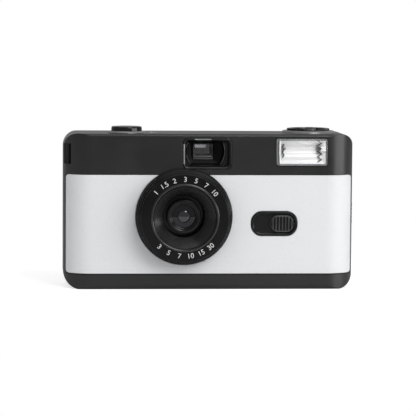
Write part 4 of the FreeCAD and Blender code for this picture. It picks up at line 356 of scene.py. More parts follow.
def shadeBySharpness(mesh, angle):
    mesh.polygons.foreach_set("use_smooth", [True] * len(mesh.polygons))
    mesh.set_sharp_from_angle(angle=radians(angle))
    mesh.update()


packedAngle = 28  # degrees; edges sharper than this stay sharp
for finish, names in nodeFinish.items():
    for name in names:
        mesh = cad[name].data
        mesh.materials.clear()
        mesh.materials.append(finish)
        shadeBySharpness(mesh, packedAngle)
print("packed pieces finished")


# mesh helpers, all in millimetres
def addPiece(name, verts, faces, finish, slot, body="camera_body", stands=(), angle=32):
    mesh = bpy.data.meshes.new(name)
    mesh.from_pydata([tuple(c * mm for c in v) for v in verts], [], faces)
    mesh.validate()
    work = bmesh.new()
    work.from_mesh(mesh)
    bmesh.ops.remove_doubles(work, verts=work.verts, dist=1e-7)
    bmesh.ops.recalc_face_normals(work, faces=work.faces)
    work.to_mesh(mesh)
    work.free()
    shadeBySharpness(mesh, angle)
    mesh.materials.append(finish)
    piece = newObject(name, mesh)
    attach(piece, body)
    if stands:
        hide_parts(*stands)
    return piece


def evenly(low, high, steps):
    # the ends and the places between them
    return [low + (high - low) * k / steps for k in range(steps + 1)]


def softened(points, closed=True, steps=5):
    # corners given as (a, b, radius) become short arcs; those given as (a, b) stay sharp
    result = []
    count = len(points)
    for i, point in enumerate(points):
        a, b, radius = point if len(point) == 3 else (*point, 0.0)
        if radius <= 0 or (not closed and i in (0, count - 1)):
            result.append((a, b))
            continue
        here = Vector((a, b))
        before = Vector(points[i - 1][:2]) - here
        after = Vector(points[(i + 1) % count][:2]) - here
        reach = min(radius, before.length * 0.49, after.length * 0.49)
        start, end = here + before.normalized() * reach, here + after.normalized() * reach
        for t in evenly(0, 1, steps):
            p = start * (1 - t) ** 2 + here * 2 * t * (1 - t) + end * t ** 2
            result.append((p.x, p.y))
    return result


def bandFaces(first, second, n):
    # faces between two closed loops of n points that start at these two
    return [(first + i, first + (i + 1) % n, second + (i + 1) % n, second + i) for i in range(n)]


def turned(name, profile, centre, axis, finish, slot, steps=144, closed=True, **more):
    # profile of (radius, place along the axis), turned about an axis through centre
    outline = softened(profile, closed)
    verts, faces = [], []
    for k in range(steps):
        angle = 2 * pi * k / steps
        c, s = cos(angle), sin(angle)
        for radius, along in outline:
            if axis == "y":
                verts.append((centre[0] + radius * c, along, centre[1] + radius * s))
            elif axis == "x":
                verts.append((along, centre[0] + radius * c, centre[1] + radius * s))
            else:
                verts.append((centre[0] + radius * c, centre[1] + radius * s, along))
    n = len(outline)
    for k in range(steps):
        band = bandFaces(k * n, (k + 1) % steps * n, n)
        faces += band if closed else band[:-1]
    addPiece(name, verts, faces, finish, slot, **more)


def roundedLoop(width, height, radius, steps=8):
    # the same number of points whatever the size, so that loops can be joined
    points = []
    for sx, sz, start in ((1, -1, -90), (1, 1, 0), (-1, 1, 90), (-1, -1, 180)):
        cx, cz = sx * (width / 2 - radius), sz * (height / 2 - radius)
        for degrees in evenly(start, start + 90, steps):
            angle = radians(degrees)
            points.append((cx + radius * cos(angle), cz + radius * sin(angle)))
    return points


def frontLoop(centre, size, inset, radius, along, steps=8):
    # a rounded rectangle that faces the front
    loop = roundedLoop(size[0] - 2 * inset, size[1] - 2 * inset, radius, steps)
    return [(centre[0] + u, along, centre[1] + v) for u, v in loop]


def joined(name, loops, finish, slot, capFirst=True, capLast=True, **more):
    # loops of equal length, joined one to the next
    n = len(loops[0])
    verts = [p for loop in loops for p in loop]
    faces = []
    for k in range(len(loops) - 1):
        faces += bandFaces(k * n, (k + 1) * n, n)
    if capFirst:
        faces.append(tuple(range(n)))
    if capLast:
        faces.append(tuple(range(len(verts) - n, len(verts))))
    return addPiece(name, verts, faces, finish, slot, **more)


def slab(name, x, z, radius, levels, finish, slot):
    # a rounded slab that faces the front; levels give (inset, depth)
    centre, size = (sum(x) / 2, sum(z) / 2), (x[1] - x[0], z[1] - z[0])
    loops = [frontLoop(centre, size, inset, max(radius - inset, 0.02), along) for inset, along in levels]
    joined(name, loops, finish, slot)


def gridFaces(columns, rows):
    row = rows + 1
    corners = [i * row + j for i in range(columns) for j in range(rows)]
    return [(a, a + 1, a + row + 1, a + row) for a in corners]


def sideFaces(columns, rows, below):
    # walls from the rim of a grid down to a second grid
    row = rows + 1
    rim = [i * row for i in range(columns)] + [columns * row + j for j in range(rows)]
    rim += [i * row + rows for i in range(columns, 0, -1)] + list(range(rows, 0, -1))
    return [(a, b, b + below, a + below) for a, b in zip(rim, rim[1:] + rim[:1])]


def digits(name, text, size, where, turn, body, finish, lift=0.015):
    # a small printed number; turn is a rotation matrix that stands it on its surface
    curve = bpy.data.curves.new(name, "FONT")
    curve.body = text
    curve.size = size * mm
    curve.align_x, curve.align_y = "CENTER", "CENTER"
    curve.extrude = lift * mm
    flat = newObject(name + "Line", curve)
    bpy.context.view_layer.update()
    mesh = bpy.data.meshes.new_from_object(flat.evaluated_get(bpy.context.evaluated_depsgraph_get()))
    bpy.data.objects.remove(flat)
    mesh.transform(Matrix.Translation(Vector(where) * mm) @ turn)
    mesh.name = name
    mesh.materials.clear()
    mesh.materials.append(finish)
    piece = newObject(name, mesh)
    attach(piece, body)


# lens ring, hood, barrel and glass
lensAt = (-10.2, 28.7)

ring = {"profile": [
    (13.45, -21.75), (16.85, -21.75, 0.15), (17.3, -21.3, 0.15), (17.32, -19.95, 0.05), (17.6, -19.9, 0.1),
    (17.98, -19.5, 0.1), (18.0, -17.95, 0.05), (18.2, -17.9, 0.1), (18.54, -17.5, 0.1),
    (18.56, -15.95, 0.05), (18.68, -15.9, 0.08), (18.95, -15.55, 0.08), (18.95, -14.3), (15.8, -14.3),
    (15.8, -10.85), (13.45, -10.85)]}


def makeLensRing(s):
    turned("lensRing", s["profile"], lensAt, "y", ringBlack, "black_gloss", stands=["lens_ring"])


hood = {"rim": [(13.4, -21.8), (13.25, -22.0, 0.08), (12.8, -22.13, 0.12), (12.45, -22.0, 0.15)],
        "wall": ((12.2, -21.3), (8.15, -14.0)), "wallRound": 0.2,
        "back": [(8.0, -13.4), (8.9, -12.4), (13.4, -14.2)],
        "lines": 12, "lineDepth": 0.1, "lineHalf": 0.1, "lineRound": 0.02,
        "lipBefore": 0.06, "lipAfter": 0.02}


def makeHood(s):
    # the sloping wall carries fine turned lines
    (r0, y0), (r1, y1) = s["wall"]
    outline = [*s["rim"], (r0, y0, s["wallRound"])]
    for t in evenly(0, 1, s["lines"])[1:-1]:
        r, y = r0 + (r1 - r0) * t, y0 + (y1 - y0) * t
        outline += [(r + s["lipBefore"], y - s["lineHalf"]), (r - s["lineDepth"], y, s["lineRound"]),
                    (r - s["lipAfter"], y + s["lineHalf"])]
    outline += [(r1, y1, s["wallRound"]), *s["back"]]
    turned("lensHood", outline, lensAt, "y", hoodBlack, "black_abs", stands=["lens_cone"])


barrel = {
    "profile": [
        (5.2, -14.6), (5.25, -15.0, 0.1), (5.7, -15.15, 0.1), (6.45, -15.15, 0.25), (6.8, -14.8, 0.2),
        (6.8, -9.1), (9.5, -9.1), (9.5, -7.9), (4.15, -7.9), (4.15, -11.2), (5.2, -11.2)],
    "retainer": [
        (4.5, -13.9, 0.05), (4.55, -14.25, 0.08), (4.8, -14.35, 0.05), (4.85, -14.55, 0.04),
        (5.15, -14.6, 0.04), (5.15, -13.9)],
    "seat": [(0.0, -11.25), (5.1, -11.25), (5.1, -11.05), (0.0, -11.05)],
    "step": [(2.5, -11.3), (2.5, -13.3), (2.85, -13.3), (4.9, -12.0), (4.9, -11.2), (2.5, -11.2)],
    "outerGlass": {"inner": 2.46, "radius": 4.9, "top": -14.35, "bottom": -12.1, "curve": 19.0},
    "innerGlass": {"inner": 0.0, "radius": 2.4, "top": -14.15, "bottom": -11.3, "curve": 7.0},
}


def makeGlass(name, s, finish, stands=(), rings=16):
    # a glass with a convex front, open in the middle where inner is set
    points = [(s["inner"], s["bottom"])] if s["inner"] else []
    for r in evenly(s["inner"], s["radius"], rings):
        points.append((r, s["top"] + s["curve"] - sqrt(s["curve"] ** 2 - r * r)))
    points.append((s["radius"], s["bottom"]))
    turned(name, points, lensAt, "y", finish, "lens_glass", steps=96, closed=False, stands=stands,
           angle=40)


def makeBarrel(s):
    turned("lensBarrel", s["profile"], lensAt, "y", shinyBlack, "black_gloss", stands=["lens_barrel"])
    turned("lensRetainer", s["retainer"], lensAt, "y", shinyBlack, "black_abs", stands=["lens_retainer"])
    makeGlass("frontGlass", s["outerGlass"], lensGlass, ["front_lens"])
    turned("glassSeat", s["seat"], lensAt, "y", hoodBlack, "dark_inside")
    turned("irisRing", s["step"], lensAt, "y", shinyBlack, "dark_inside")
    makeGlass("innerGlass", s["innerGlass"], coatedGlass)


ringPrint = {"radius": 14.95, "size": 2.75, "face": -21.77,
             "upper": (["1", "1.5", "2", "3", "5", "7", "10"], 98.0, 1),
             "lower": (["3", "5", "7", "10", "15", "30"], 84.0, -1)}


def makeRingPrint(s):
    stand = Matrix.Rotation(radians(90), 4, "X")
    for row in ("upper", "lower"):
        words, spread, side = s[row]
        for k, word in enumerate(words):
            a = radians(-spread / 2 + spread * k / (len(words) - 1))
            x, z = s["radius"] * sin(a), side * s["radius"] * cos(a)
            digits(f"ringNumber_{row}_{k}", word, s["size"], (lensAt[0] + x, s["face"], lensAt[1] + z),
                   Matrix.Rotation(side * a, 4, "Y") @ stand, "camera_body", printWhite)


makeLensRing(ring)
makeHood(hood)
makeBarrel(barrel)
makeRingPrint(ringPrint)
print("lens dressed")

# viewfinder; the lip rolls over into sloping walls, then comes the bore and the raised frame of the window
finder = {
    "centre": (-1.155, 53.25), "half": (9.6, 6.05), "corner": 1.9, "cornerLoss": 0.6, "leastCorner": 0.5,
    "points": 192,
    "lip": [(0.0, -11.0), (0.0, -14.2), (0.06, -14.33), (0.2, -14.4), (0.4, -14.4), (0.62, -14.31),
            (0.84, -14.14), (1.04, -13.9), (1.22, -13.58), (1.36, -13.2), (1.47, -12.75), (1.55, -12.1),
            (1.62, -11.95)],
    "bore": (-1.8, 54.15, 7.75),
    "boreEdge": [(0.2, 1.6, -11.95), (0.05, 1.65, -12.12), (-0.15, 1.7, -11.95)],
    "taper": [(0.03, -10.9), (0.07, -9.5), (0.14, -8.1), (0.97, -7.35)],
    "taperGrow": -0.2, "taperInset": 1.7,
    "window": (-2.6, 54.2), "windowHalf": (3.4, 2.45), "frameHalf": (3.95, 3.0), "frameCorner": 0.5,
    "frame": [("frameHalf", 0.0, 0.5, -7.2), ("frameHalf", 0.0, 0.5, -7.75),
              ("frameHalf", -0.12, 0.5, -7.9), ("windowHalf", 0.2, 0.5, -7.9),
              ("windowHalf", 0.03, 0.4, -7.75), ("windowHalf", 0.0, 0.35, -6.9)],
    "mattFrom": -11.9,
}


def reachOf(angle, halfW, halfH, corner):
    # how far a ray from the middle goes before it meets a rounded rectangle
    c, s = cos(angle), sin(angle)
    low, high = 0.0, halfW + halfH
    for _ in range(40):
        r = (low + high) / 2
        dx, dz = abs(r * c) - (halfW - corner), abs(r * s) - (halfH - corner)
        outside = hypot(max(dx, 0), max(dz, 0)) - corner if max(dx, dz) > 0 else -corner
        low, high = (r, high) if outside < 0 else (low, r)
    return low


def rayLoop(centre, half, corner, y):
    # a rounded rectangle whose points lie evenly by angle
    loop = []
    for a in evenly(0, 2 * pi, finder["points"])[:-1]:
        r = reachOf(a, *half, corner)
        loop.append((centre[0] + r * cos(a), y, centre[1] + r * sin(a)))
    return loop


def boreLoop(grow, inset, y):
    # the round bore, cut off where it meets the walls of the recess
    bx, bz, radius = finder["bore"]
    (cx, cz), (w, h) = finder["centre"], finder["half"]
    loop = []
    for a in evenly(0, 2 * pi, finder["points"])[:-1]:
        px, pz = bx + (radius + grow) * cos(a), bz + (radius + grow) * sin(a)
        px = min(max(px, cx - w + inset), cx + w - inset)
        pz = min(max(pz, cz - h + inset), cz + h - inset)
        loop.append((px, y, pz))
    return loop


def makeFinder(s):
    loops = []
    for inset, y in s["lip"]:
        corner = max(s["corner"] - inset * s["cornerLoss"], s["leastCorner"])
        loops.append(rayLoop(s["centre"], [side - inset for side in s["half"]], corner, y))
    loops += [boreLoop(*place) for place in s["boreEdge"]]
    for share, y in s["taper"]:
        bore = boreLoop(s["taperGrow"], s["taperInset"], y)
        frame = rayLoop(s["window"], s["frameHalf"], s["frameCorner"], y)
        loops.append([tuple(p + (q - p) * share for p, q in zip(*pair)) for pair in zip(bore, frame)])
    for half, grow, corner, y in s["frame"]:
        loops.append(rayLoop(s["window"], [side + grow for side in s[half]], corner, y))
    funnel = joined("finderFunnel", loops, finderBlack, "black_gloss", capFirst=False, capLast=False,
                    stands=["finder_bezel"], angle=38)
    # the inside of the round opening is matt
    funnel.data.materials.append(finderMatt)
    for face in funnel.data.polygons:
        if face.center.y / mm > s["mattFrom"]:
            face.material_index = 1


finderEdges = {"arc": (7.62, -12.12, 0.11), "span": 41.0, "arcSteps": 40, "sides": 8, "barSteps": 8,
               "wall": [(-10.5, -14.4), (-10.34, -14.45), (-10.05, -14.36), (-9.98, -14.2)],
               "wallZ": (49.3, 57.0),
               "brow": [(-14.4, 59.08), (-14.5, 58.98), (-14.5, 58.72), (-14.3, 58.62)],
               "browX": (-6.2, 0.3)}


def makeFinderEdges(s):
    # painted highlights: grey pieces for the bright edges of the round opening, the lit wall at its left
    # and the lit lip above it
    bx, bz, _ = finder["bore"]
    r, y, thick = s["arc"]
    for name, middle in (("Right", 0), ("Left", 180)):
        loops = []
        for degrees in evenly(middle - s["span"], middle + s["span"], s["arcSteps"]):
            a = radians(degrees)
            loop = []
            for b in evenly(0, 2 * pi, s["sides"])[:-1]:
                reach = r + thick * cos(b)
                loop.append((bx + reach * cos(a), y + thick * sin(b), bz + reach * sin(a)))
            loops.append(loop)
        joined("finderArc" + name, loops, finderEdgeHighlight, "black_gloss", angle=60)
    wall = [[(px, py, z) for px, py in s["wall"]] for z in evenly(*s["wallZ"], s["barSteps"])]
    joined("finderWall", wall, capEdgeHighlight, "black_gloss")
    brow = [[(x, py, pz) for py, pz in s["brow"]] for x in evenly(*s["browX"], s["barSteps"])]
    joined("finderBrow", brow, capEdgeHighlight, "black_gloss")


finderFrame = {"inner": (6.7, 4.8), "outer": (8.1, 6.2), "front": -8.15, "back": -7.2, "round": 0.35,
               "innerRound": 0.245, "overlap": 0.25, "corner": 0.5, "bends": 6,
               "sill": ((-6.45, 1.55), (50.6, 52.3), 0.5),
               "sillLevels": [(0.0, -7.2), (0.0, -7.8), (0.1, -8.0), (0.3, -8.1)]}


def makeFinderFrame(s):
    # rounded frame round the window, painted a little lighter as a painted highlight, with a small sill
    # below it painted grey for the light on it
    at, corner = finder["window"], s["corner"]
    inner, outer, r = s["inner"], s["outer"], s["round"]
    bends = [radians(degrees) for degrees in evenly(0, 90, s["bends"])]
    loops = [frontLoop(at, outer, 0, corner + r, s["back"])]
    for a in reversed(bends):
        inset = r * (1 - sin(a))
        loops.append(frontLoop(at, outer, inset, corner + r - inset, s["front"] + r * (1 - cos(a))))
    for a in bends[1:]:
        inset = s["innerRound"] * sin(a) - s["overlap"]
        loops.append(frontLoop(at, inner, inset, corner, s["front"] + r * (1 - cos(a))))
    loops.append(frontLoop(at, inner, 0, corner, s["back"]))
    joined("finderFrame", loops, finderFrameSheen, "black_gloss", capFirst=False, capLast=False)
    slab("finderSill", *s["sill"], s["sillLevels"], crankSheenGrey, "black_gloss")


finderGlass = {"half": (3.75, 2.8), "front": -6.75, "back": -5.5, "hollow": 14.0, "hollowShare": 0.9,
               "steps": 16}


def makeFinderGlass(s):
    # a thin diverging lens with a hollow front
    wx, wz = finder["window"]
    w, h = s["half"]
    n = s["steps"]
    deepest = (w * w + h * h) / (2 * s["hollow"])
    spots = [(x, z) for x in evenly(-w, w, n) for z in evenly(-h, h, n)]
    verts = []
    for x, z in spots:
        sag = (x * x + z * z) / (2 * s["hollow"])
        verts.append((wx + x, s["front"] + (deepest - sag) * s["hollowShare"], wz + z))
    verts += [(wx + x, s["back"], wz + z) for x, z in spots]
    below = len(spots)
    front = gridFaces(n, n)
    back = [(a + below, d + below, c + below, b + below) for a, b, c, d in front]
    faces = front + back + sideFaces(n, n, below)
    addPiece("finderGlass", verts, faces, clearWindow, "clear_glass", stands=["finder_front_lens"],
             angle=40)


makeFinder(finder)
makeFinderEdges(finderEdges)
makeFinderFrame(finderFrame)
makeFinderGlass(finderGlass)
print("finder dressed")

# flash
flash = {"dishX": (27.1, 45.4), "lip": -14.35, "endIn": (1.3, 2.9), "pleat": (0.3, 0.75), "sheet": 0.12,
         "trough": [(-14.35, 58.95), (-13.95, 58.75), (-13.2, 57.6), (-12.95, 57.1), (-12.3, 56.4),
                    (-12.1, 55.9), (-12.2, 55.1), (-11.9, 54.7), (-12.3, 53.8), (-13.0, 53.2),
                    (-13.1, 52.8), (-13.55, 52.0), (-13.45, 50.7), (-13.9, 49.65), (-14.35, 49.4)]}


def makeFlashDish(s):
    # folded mirror trough
    left, right = s["dishX"]
    trough = s["trough"]
    front, deepest = trough[0][0], max(y for y, z in trough)
    verts = []
    for k, (y, z) in enumerate(trough):
        depth = (y - front) / (deepest - front)
        fold = depth if k % 2 else 0.0
        verts.append((left + s["endIn"][0] * depth + s["pleat"][0] * fold, y, z))
        verts.append((right - s["endIn"][1] * depth - s["pleat"][1] * fold, y, z))
    folds = len(trough) - 1
    faces = [(2 * k, 2 * k + 1, 2 * k + 3, 2 * k + 2) for k in range(folds)]
    # pleated end walls fan out to the straight edge of the lip
    for side, x in enumerate(s["dishX"]):
        base = len(verts)
        verts += [(x, s["lip"], z) for y, z in trough]
        for k in range(folds):
            a = 2 * k + side
            faces += [(a, a + 2, base + k + 1), (a, base + k + 1, base + k)]
    dish = addPiece("flashDish", verts, faces, dishMirror, "mirror_sheet", stands=["flash_reflector"],
                    angle=12)
    thicken = dish.modifiers.new("sheet", "SOLIDIFY")
    thicken.thickness, thicken.offset = s["sheet"] * mm, 0.0


flashTube = {"at": (-12.7, 55.5), "x": (28.01, 43.08), "radius": 0.55, "end": 0.4125, "taper": 0.4,
             "cap": (0.341, 0.385), "capIn": 0.3, "capLength": 1.3, "capTaper": 0.2}


def makeFlashTube(s):
    # glass tube with a metal electrode in each end
    (left, right), taper = s["x"], s["taper"]
    profile = [(0.0, left), (s["end"], left), (s["radius"], left + taper), (s["radius"], right - taper),
               (s["end"], right), (0.0, right)]
    turned("flashTube", profile, s["at"], "x", tubeGlass, "tube_glass", steps=48, stands=["flash_tube"])
    small, large = s["cap"]
    taper = s["capTaper"]
    for name, low in (("Left", left + s["capIn"]), ("Right", right - s["capIn"] - s["capLength"])):
        high = low + s["capLength"]
        cap = [(0.0, low), (small, low), (large, low + taper), (large, high - taper), (small, high),
               (0.0, high)]
        turned("electrode" + name, cap, s["at"], "x", electrodeGrey, "steel", steps=32)


flashEnds = {"Right": {"x": 41.8, "swing": 1.6, "z": (50.0, 58.6), "folds": 8},
             "Left": {"x": 28.0, "swing": 0.5, "z": (51.8, 57.2), "folds": 5},
             "width": 0.55, "front": -14.1, "least": 0.1, "clear": 0.05,
             "slit": ((43.5, 45.6), (54.08, 54.36), 0.1),
             "slitLevels": [(0.0, -14.3), (0.0, -14.42), (0.04, -14.46)]}


def depthOf(trough, z):
    # how deep the trough lies at a height
    for (y0, z0), (y1, z1) in zip(trough, trough[1:]):
        if z1 <= z <= z0 and z0 > z1:
            return y1 + (y0 - y1) * (z - z1) / (z0 - z1)
    return trough[0][0]


def makeFlashEnds(s):
    # toothed end tabs of the mirror sheet
    front = s["front"]
    for side in ("Right", "Left"):
        tab = s[side]
        loops = []
        for k, z in enumerate(evenly(*tab["z"], tab["folds"])):
            left = tab["x"] + (tab["swing"] if k % 2 else 0.0)
            right = left + s["width"]
            back = max(depthOf(flash["trough"], z) - s["clear"], front + s["least"])
            loops.append([(left, front, z), (right, front, z), (right, back, z), (left, back, z)])
        joined("flashTeeth" + side, loops, inkBlack, "mirror_sheet")
    slab("flashSlit", *s["slit"], s["slitLevels"], electrodeGrey, "mirror_sheet")


flashCap = {"x": (26.1, 45.9), "z": (48.7, 59.2),
            "corner": 0.9, "leastCorner": 0.1, "innerCorner": 0.5, "rimLoss": 0.8,
            "outside": [(0.0, -12.9), (0.0, -14.72), (0.05, -14.92), (0.18, -15.07), (0.4, -15.15)],
            "inside": [(0.65, -14.85), (0.5, -14.7), (0.5, -12.9)],
            "rim": [(0.08, -14.2), (0.08, -14.81), (0.16, -14.96), (0.34, -14.96), (0.42, -14.84),
                    (0.42, -14.2)],
            "ledge": ((27.2, 45.0), (48.98, 49.42), 0.2),
            "ledgeLevels": [(0.0, -14.2), (0.0, -14.6), (0.08, -14.7)]}


def capPlace(s):
    (x0, x1), (z0, z1) = s["x"], s["z"]
    return ((x0 + x1) / 2, (z0 + z1) / 2), (x1 - x0, z1 - z0)


def makeFlashRim(s):
    # painted highlight: grey pieces on the edges and ledge of the clear cap stand for the light they catch
    loops = [frontLoop(*capPlace(s), inset, s["corner"] - inset * s["rimLoss"], along)
             for inset, along in s["rim"]]
    joined("flashCapRim", loops, capEdgeHighlight, "clear_glass", capFirst=False, capLast=False)
    slab("flashLedge", *s["ledge"], s["ledgeLevels"], capEdgeHighlight, "clear_glass")


def makeFlashWindow(s):
    # a clear cap with soft edges, hollow behind
    loops = [frontLoop(*capPlace(s), inset, max(s["corner"] - inset, s["leastCorner"]), along)
             for inset, along in s["outside"]]
    loops += [frontLoop(*capPlace(s), inset, s["innerCorner"], along) for inset, along in s["inside"]]
    n, face = len(loops[0]), len(s["outside"])
    verts = [p for loop in loops for p in loop]
    faces = []
    for k in range(len(loops) - 1):
        if k != face - 1:
            faces += bandFaces(k * n, (k + 1) * n, n)
    faces += [tuple(range((face - 1) * n, face * n)), tuple(range(face * n, (face + 1) * n))]
    faces += bandFaces(0, (len(loops) - 1) * n, n)
    addPiece("flashCap", verts, faces, clearWindow, "clear_glass", stands=["flash_window"], angle=40)


makeFlashDish(flash)
makeFlashTube(flashTube)
makeFlashEnds(flashEnds)
makeFlashRim(flashCap)
makeFlashWindow(flashCap)
print("flash dressed")

# flash switch
switch = {"centre": (25.25, 25.95), "size": (18.26, 9.72), "corner": 4.38, "cornerSteps": 14,
          "levels": [(0.0, -13.3), (0.0, -14.3), (0.1, -14.48), (0.32, -14.58), (0.75, -14.56),
                     (1.02, -14.44), (1.16, -14.2), (1.2, -13.65), (1.3, -13.5)]}


def makeSwitch(s):
    loops = [frontLoop(s["centre"], s["size"], inset, s["corner"] - inset, along, s["cornerSteps"])
             for inset, along in s["levels"]]
    joined("switchRim", loops, shinyBlack, "black_gloss", capFirst=False, stands=["switch_bezel"],
           angle=40)


knob = {"at": (28.4, 25.95), "half": (4.65, 3.3), "corner": 3.25, "floor": -13.55, "top": -15.5,
        "columns": 168, "rows": 44, "columnBunch": 0.35, "least": 0.02,
        "edge": 0.75, "edgeDrop": 1.1, "ribs": 7, "pitch": 1.24, "ribDepth": 0.9, "ribSharp": 0.8,
        "ribFrom": 0.35, "ribFade": 0.35, "ribOver": 0.1,
        "highlightFrom": 0.5, "highlightSide": 0.3, "highlightShare": 0.55}


def halfHeight(x, halfW, halfH, corner):
    over = abs(x) - (halfW - corner)
    if over <= 0:
        return halfH
    return halfH - corner + sqrt(max(corner * corner - over * over, 0.0))


def grooveShare(x, s):
    # 0 on top of a rib, 1 at the bottom of a groove
    phase = x / s["pitch"] + 0.5 * ((s["ribs"] + 1) % 2)
    return 0.5 - 0.5 * cos(2 * pi * phase)


def knobPoint(x, z, tall, s):
    # height of the thumb piece: a rounded edge with grooves between the ribs
    (w, h), corner = s["half"], s["corner"]
    gapZ = tall - abs(z)
    gap = min(gapZ, w - abs(x)) if abs(z) < h - corner else gapZ
    edge = min(gap / s["edge"], 1.0)
    height = s["top"] + (1 - sqrt(max(1 - (1 - edge) ** 2, 0.0))) * s["edgeDrop"]
    if abs(x) < s["pitch"] * s["ribs"] / 2 + s["ribOver"]:
        inner = min(max((gap - s["ribFrom"]) / s["ribFade"], 0.0), 1.0)
        height += s["ribDepth"] * grooveShare(x, s) ** s["ribSharp"] * inner
    return height


def makeKnob(s):
    # thumb piece with rounded ribs across it
    (w, h), corner = s["half"], s["corner"]
    columns, rows, bunch = s["columns"], s["rows"], s["columnBunch"]
    cx, cz = s["at"]
    verts = []
    for t in evenly(-0.5, 0.5, columns):
        x = w * (sin(t * pi) * bunch + t * 2 * (1 - bunch))
        tall = max(halfHeight(x, w, h, corner), s["least"])
        for q in evenly(-0.5, 0.5, rows):
            z = sin(q * pi) * tall
            verts.append((cx + x, knobPoint(x, z, tall, s), cz + z))
    below = len(verts)
    verts += [(x, s["floor"], z) for x, y, z in verts]
    faces = gridFaces(columns, rows) + sideFaces(columns, rows, below)
    piece = addPiece("switchKnob", verts, faces, knobBlack, "black_abs", body="flash_switch",
                     stands=["switch_knob"], angle=50)
    # the front of the thumb piece and its rib tops are painted lighter grey than the grooves and sides, as
    # painted highlight on black plastic
    piece.data.materials.append(ribHighlightGrey)
    for face in piece.data.polygons:
        x, y, z = face.center / mm - Vector((cx, 0, cz))
        tall = halfHeight(x, w, h, corner) - s["highlightFrom"]
        ribbed = abs(x) < s["pitch"] * s["ribs"] / 2 and abs(z) < tall
        if y < s["floor"] - s["highlightSide"] and (not ribbed or grooveShare(x, s) < s["highlightShare"]):
            face.material_index = 1


# shutter button and its collar
button = {"at": (-32.4, -5.0),
          "profile": [(0.0, 63.28), (3.4, 63.32, 1.5), (5.2, 63.58, 0.3), (5.75, 63.5, 0.25),
                      (6.0, 63.1, 0.3), (6.0, 59.5), (6.7, 59.5), (6.7, 58.8), (1.8, 58.8), (1.8, 60.3),
                      (1.0, 60.3), (1.0, 55.35), (0.0, 55.35)],
          "collar": [(6.05, 61.05), (7.5, 61.05), (7.42, 61.35, 0.1), (6.95, 61.78, 0.15),
                     (6.3, 61.8, 0.1), (6.05, 61.6, 0.05)]}


def makeButton(s):
    turned("shutterButton", s["profile"], s["at"], "z", shinyBlack, "black_gloss", body="shutter_button",
           stands=["shutter_button"])
    # the collar is painted light grey, a painted reflection
    turned("buttonCollar", s["collar"], s["at"], "z", footSheenGrey, "black_abs", stands=["button_collar"])


# small handle at the end of the rewind crank
handle = {"at": (40.0, -5.0),
          "profile": [(0.0, 63.44), (1.2, 63.46, 0.3), (1.75, 63.42, 0.15), (2.0, 63.2, 0.15),
                      (1.9, 63.02, 0.05), (1.95, 62.96), (1.0, 62.96), (1.0, 62.26), (0.0, 62.26)]}


def makeHandle(s):
    # the handle is painted grey, a painted highlight
    turned("crankHandle", s["profile"], s["at"], "z", crankSheenGrey, "black_abs", steps=64,
           body="crank_handle", stands=["crank_handle"])


# rewind disc with its finger notches, and the sloping foot that it turns on
rewind = {"at": (40.0, 0.3),
          "plate": [(8.3, 61.92), (8.42, 61.98, 0.03), (8.42, 62.14, 0.03), (8.3, 62.2), (2.3, 62.2),
                    (2.3, 61.92)],
          "rim": (6.95, 8.42, 62.1, 62.82), "outerBevel": (0.2, 0.16), "innerBevel": (0.35, 0.25),
          "notch": 20.5, "teeth": 46, "toothDeep": 0.12,
          "foot": [(10.65, 61.0), (10.45, 61.6, 0.15), (9.9, 61.95, 0.15), (8.95, 62.0, 0.1),
                   (8.75, 61.85), (8.75, 61.0)]}


def makeRewind(s):
    turned("rewindPlate", s["plate"], s["at"], "z", shinyBlack, "black_gloss", body="rewind_shaft",
           stands=["rewind_disc"])
    inner, outer, low, high = s["rim"]
    (outIn, outDown), (inOut, inDown) = s["outerBevel"], s["innerBevel"]
    cx, cy = s["at"]
    reach = 90 - s["notch"]
    for name, middle in (("Right", 0), ("Left", 180)):
        loops = []
        for k, degrees in enumerate(evenly(middle - reach, middle + reach, s["teeth"] * 2)):
            a = radians(degrees)
            side = outer - (s["toothDeep"] if k % 2 else 0.0)
            section = [(inner, low), (side, low), (side, high - outDown), (outer - outIn, high),
                       (inner + inOut, high), (inner, high - inDown)]
            loops.append([(cx + r * cos(a), cy + r * sin(a), z) for r, z in section])
        joined("rewindRim" + name, loops, shinyBlack, "black_gloss", body="rewind_shaft")
    # the sloping foot is painted light grey, a painted reflection
    turned("rewindFoot", s["foot"], s["at"], "z", footSheenGrey, "black_abs")


# frame counter numbers
counter = {"at": (-21.0, 5.0), "radius": 4.75, "size": 1.35, "top": 59.46, "last": 38, "step": 2}


def makeCounter(s):
    cx, cy = s["at"]
    marks = range(0, s["last"] + 1, s["step"])
    for k, number in enumerate(marks):
        angle = 2 * pi * k / len(marks)
        where = (cx + s["radius"] * sin(angle), cy - s["radius"] * cos(angle), s["top"])
        digits(f"counterNumber_{number}", str(number), s["size"], where, Matrix.Rotation(angle, 4, "Z"),
               "counter_dial", inkBlack)


# dark strip along the joint below the front panel and at its ends, a painted shadow of the gap there
groove = {"corner": (46.25, -3.25), "radii": (10.75, 11.03), "low": (5.86, 6.22),
          "first": 24.6, "steps": 24, "ends": (23.2, 24.7), "endZ": (6.9, 44.2)}


def cornerPoint(s, degrees, radius, side):
    # a point on the rounded corner, seen from above
    a = radians(degrees)
    return side * (s["corner"][0] + radius * cos(a)), s["corner"][1] - radius * sin(a)


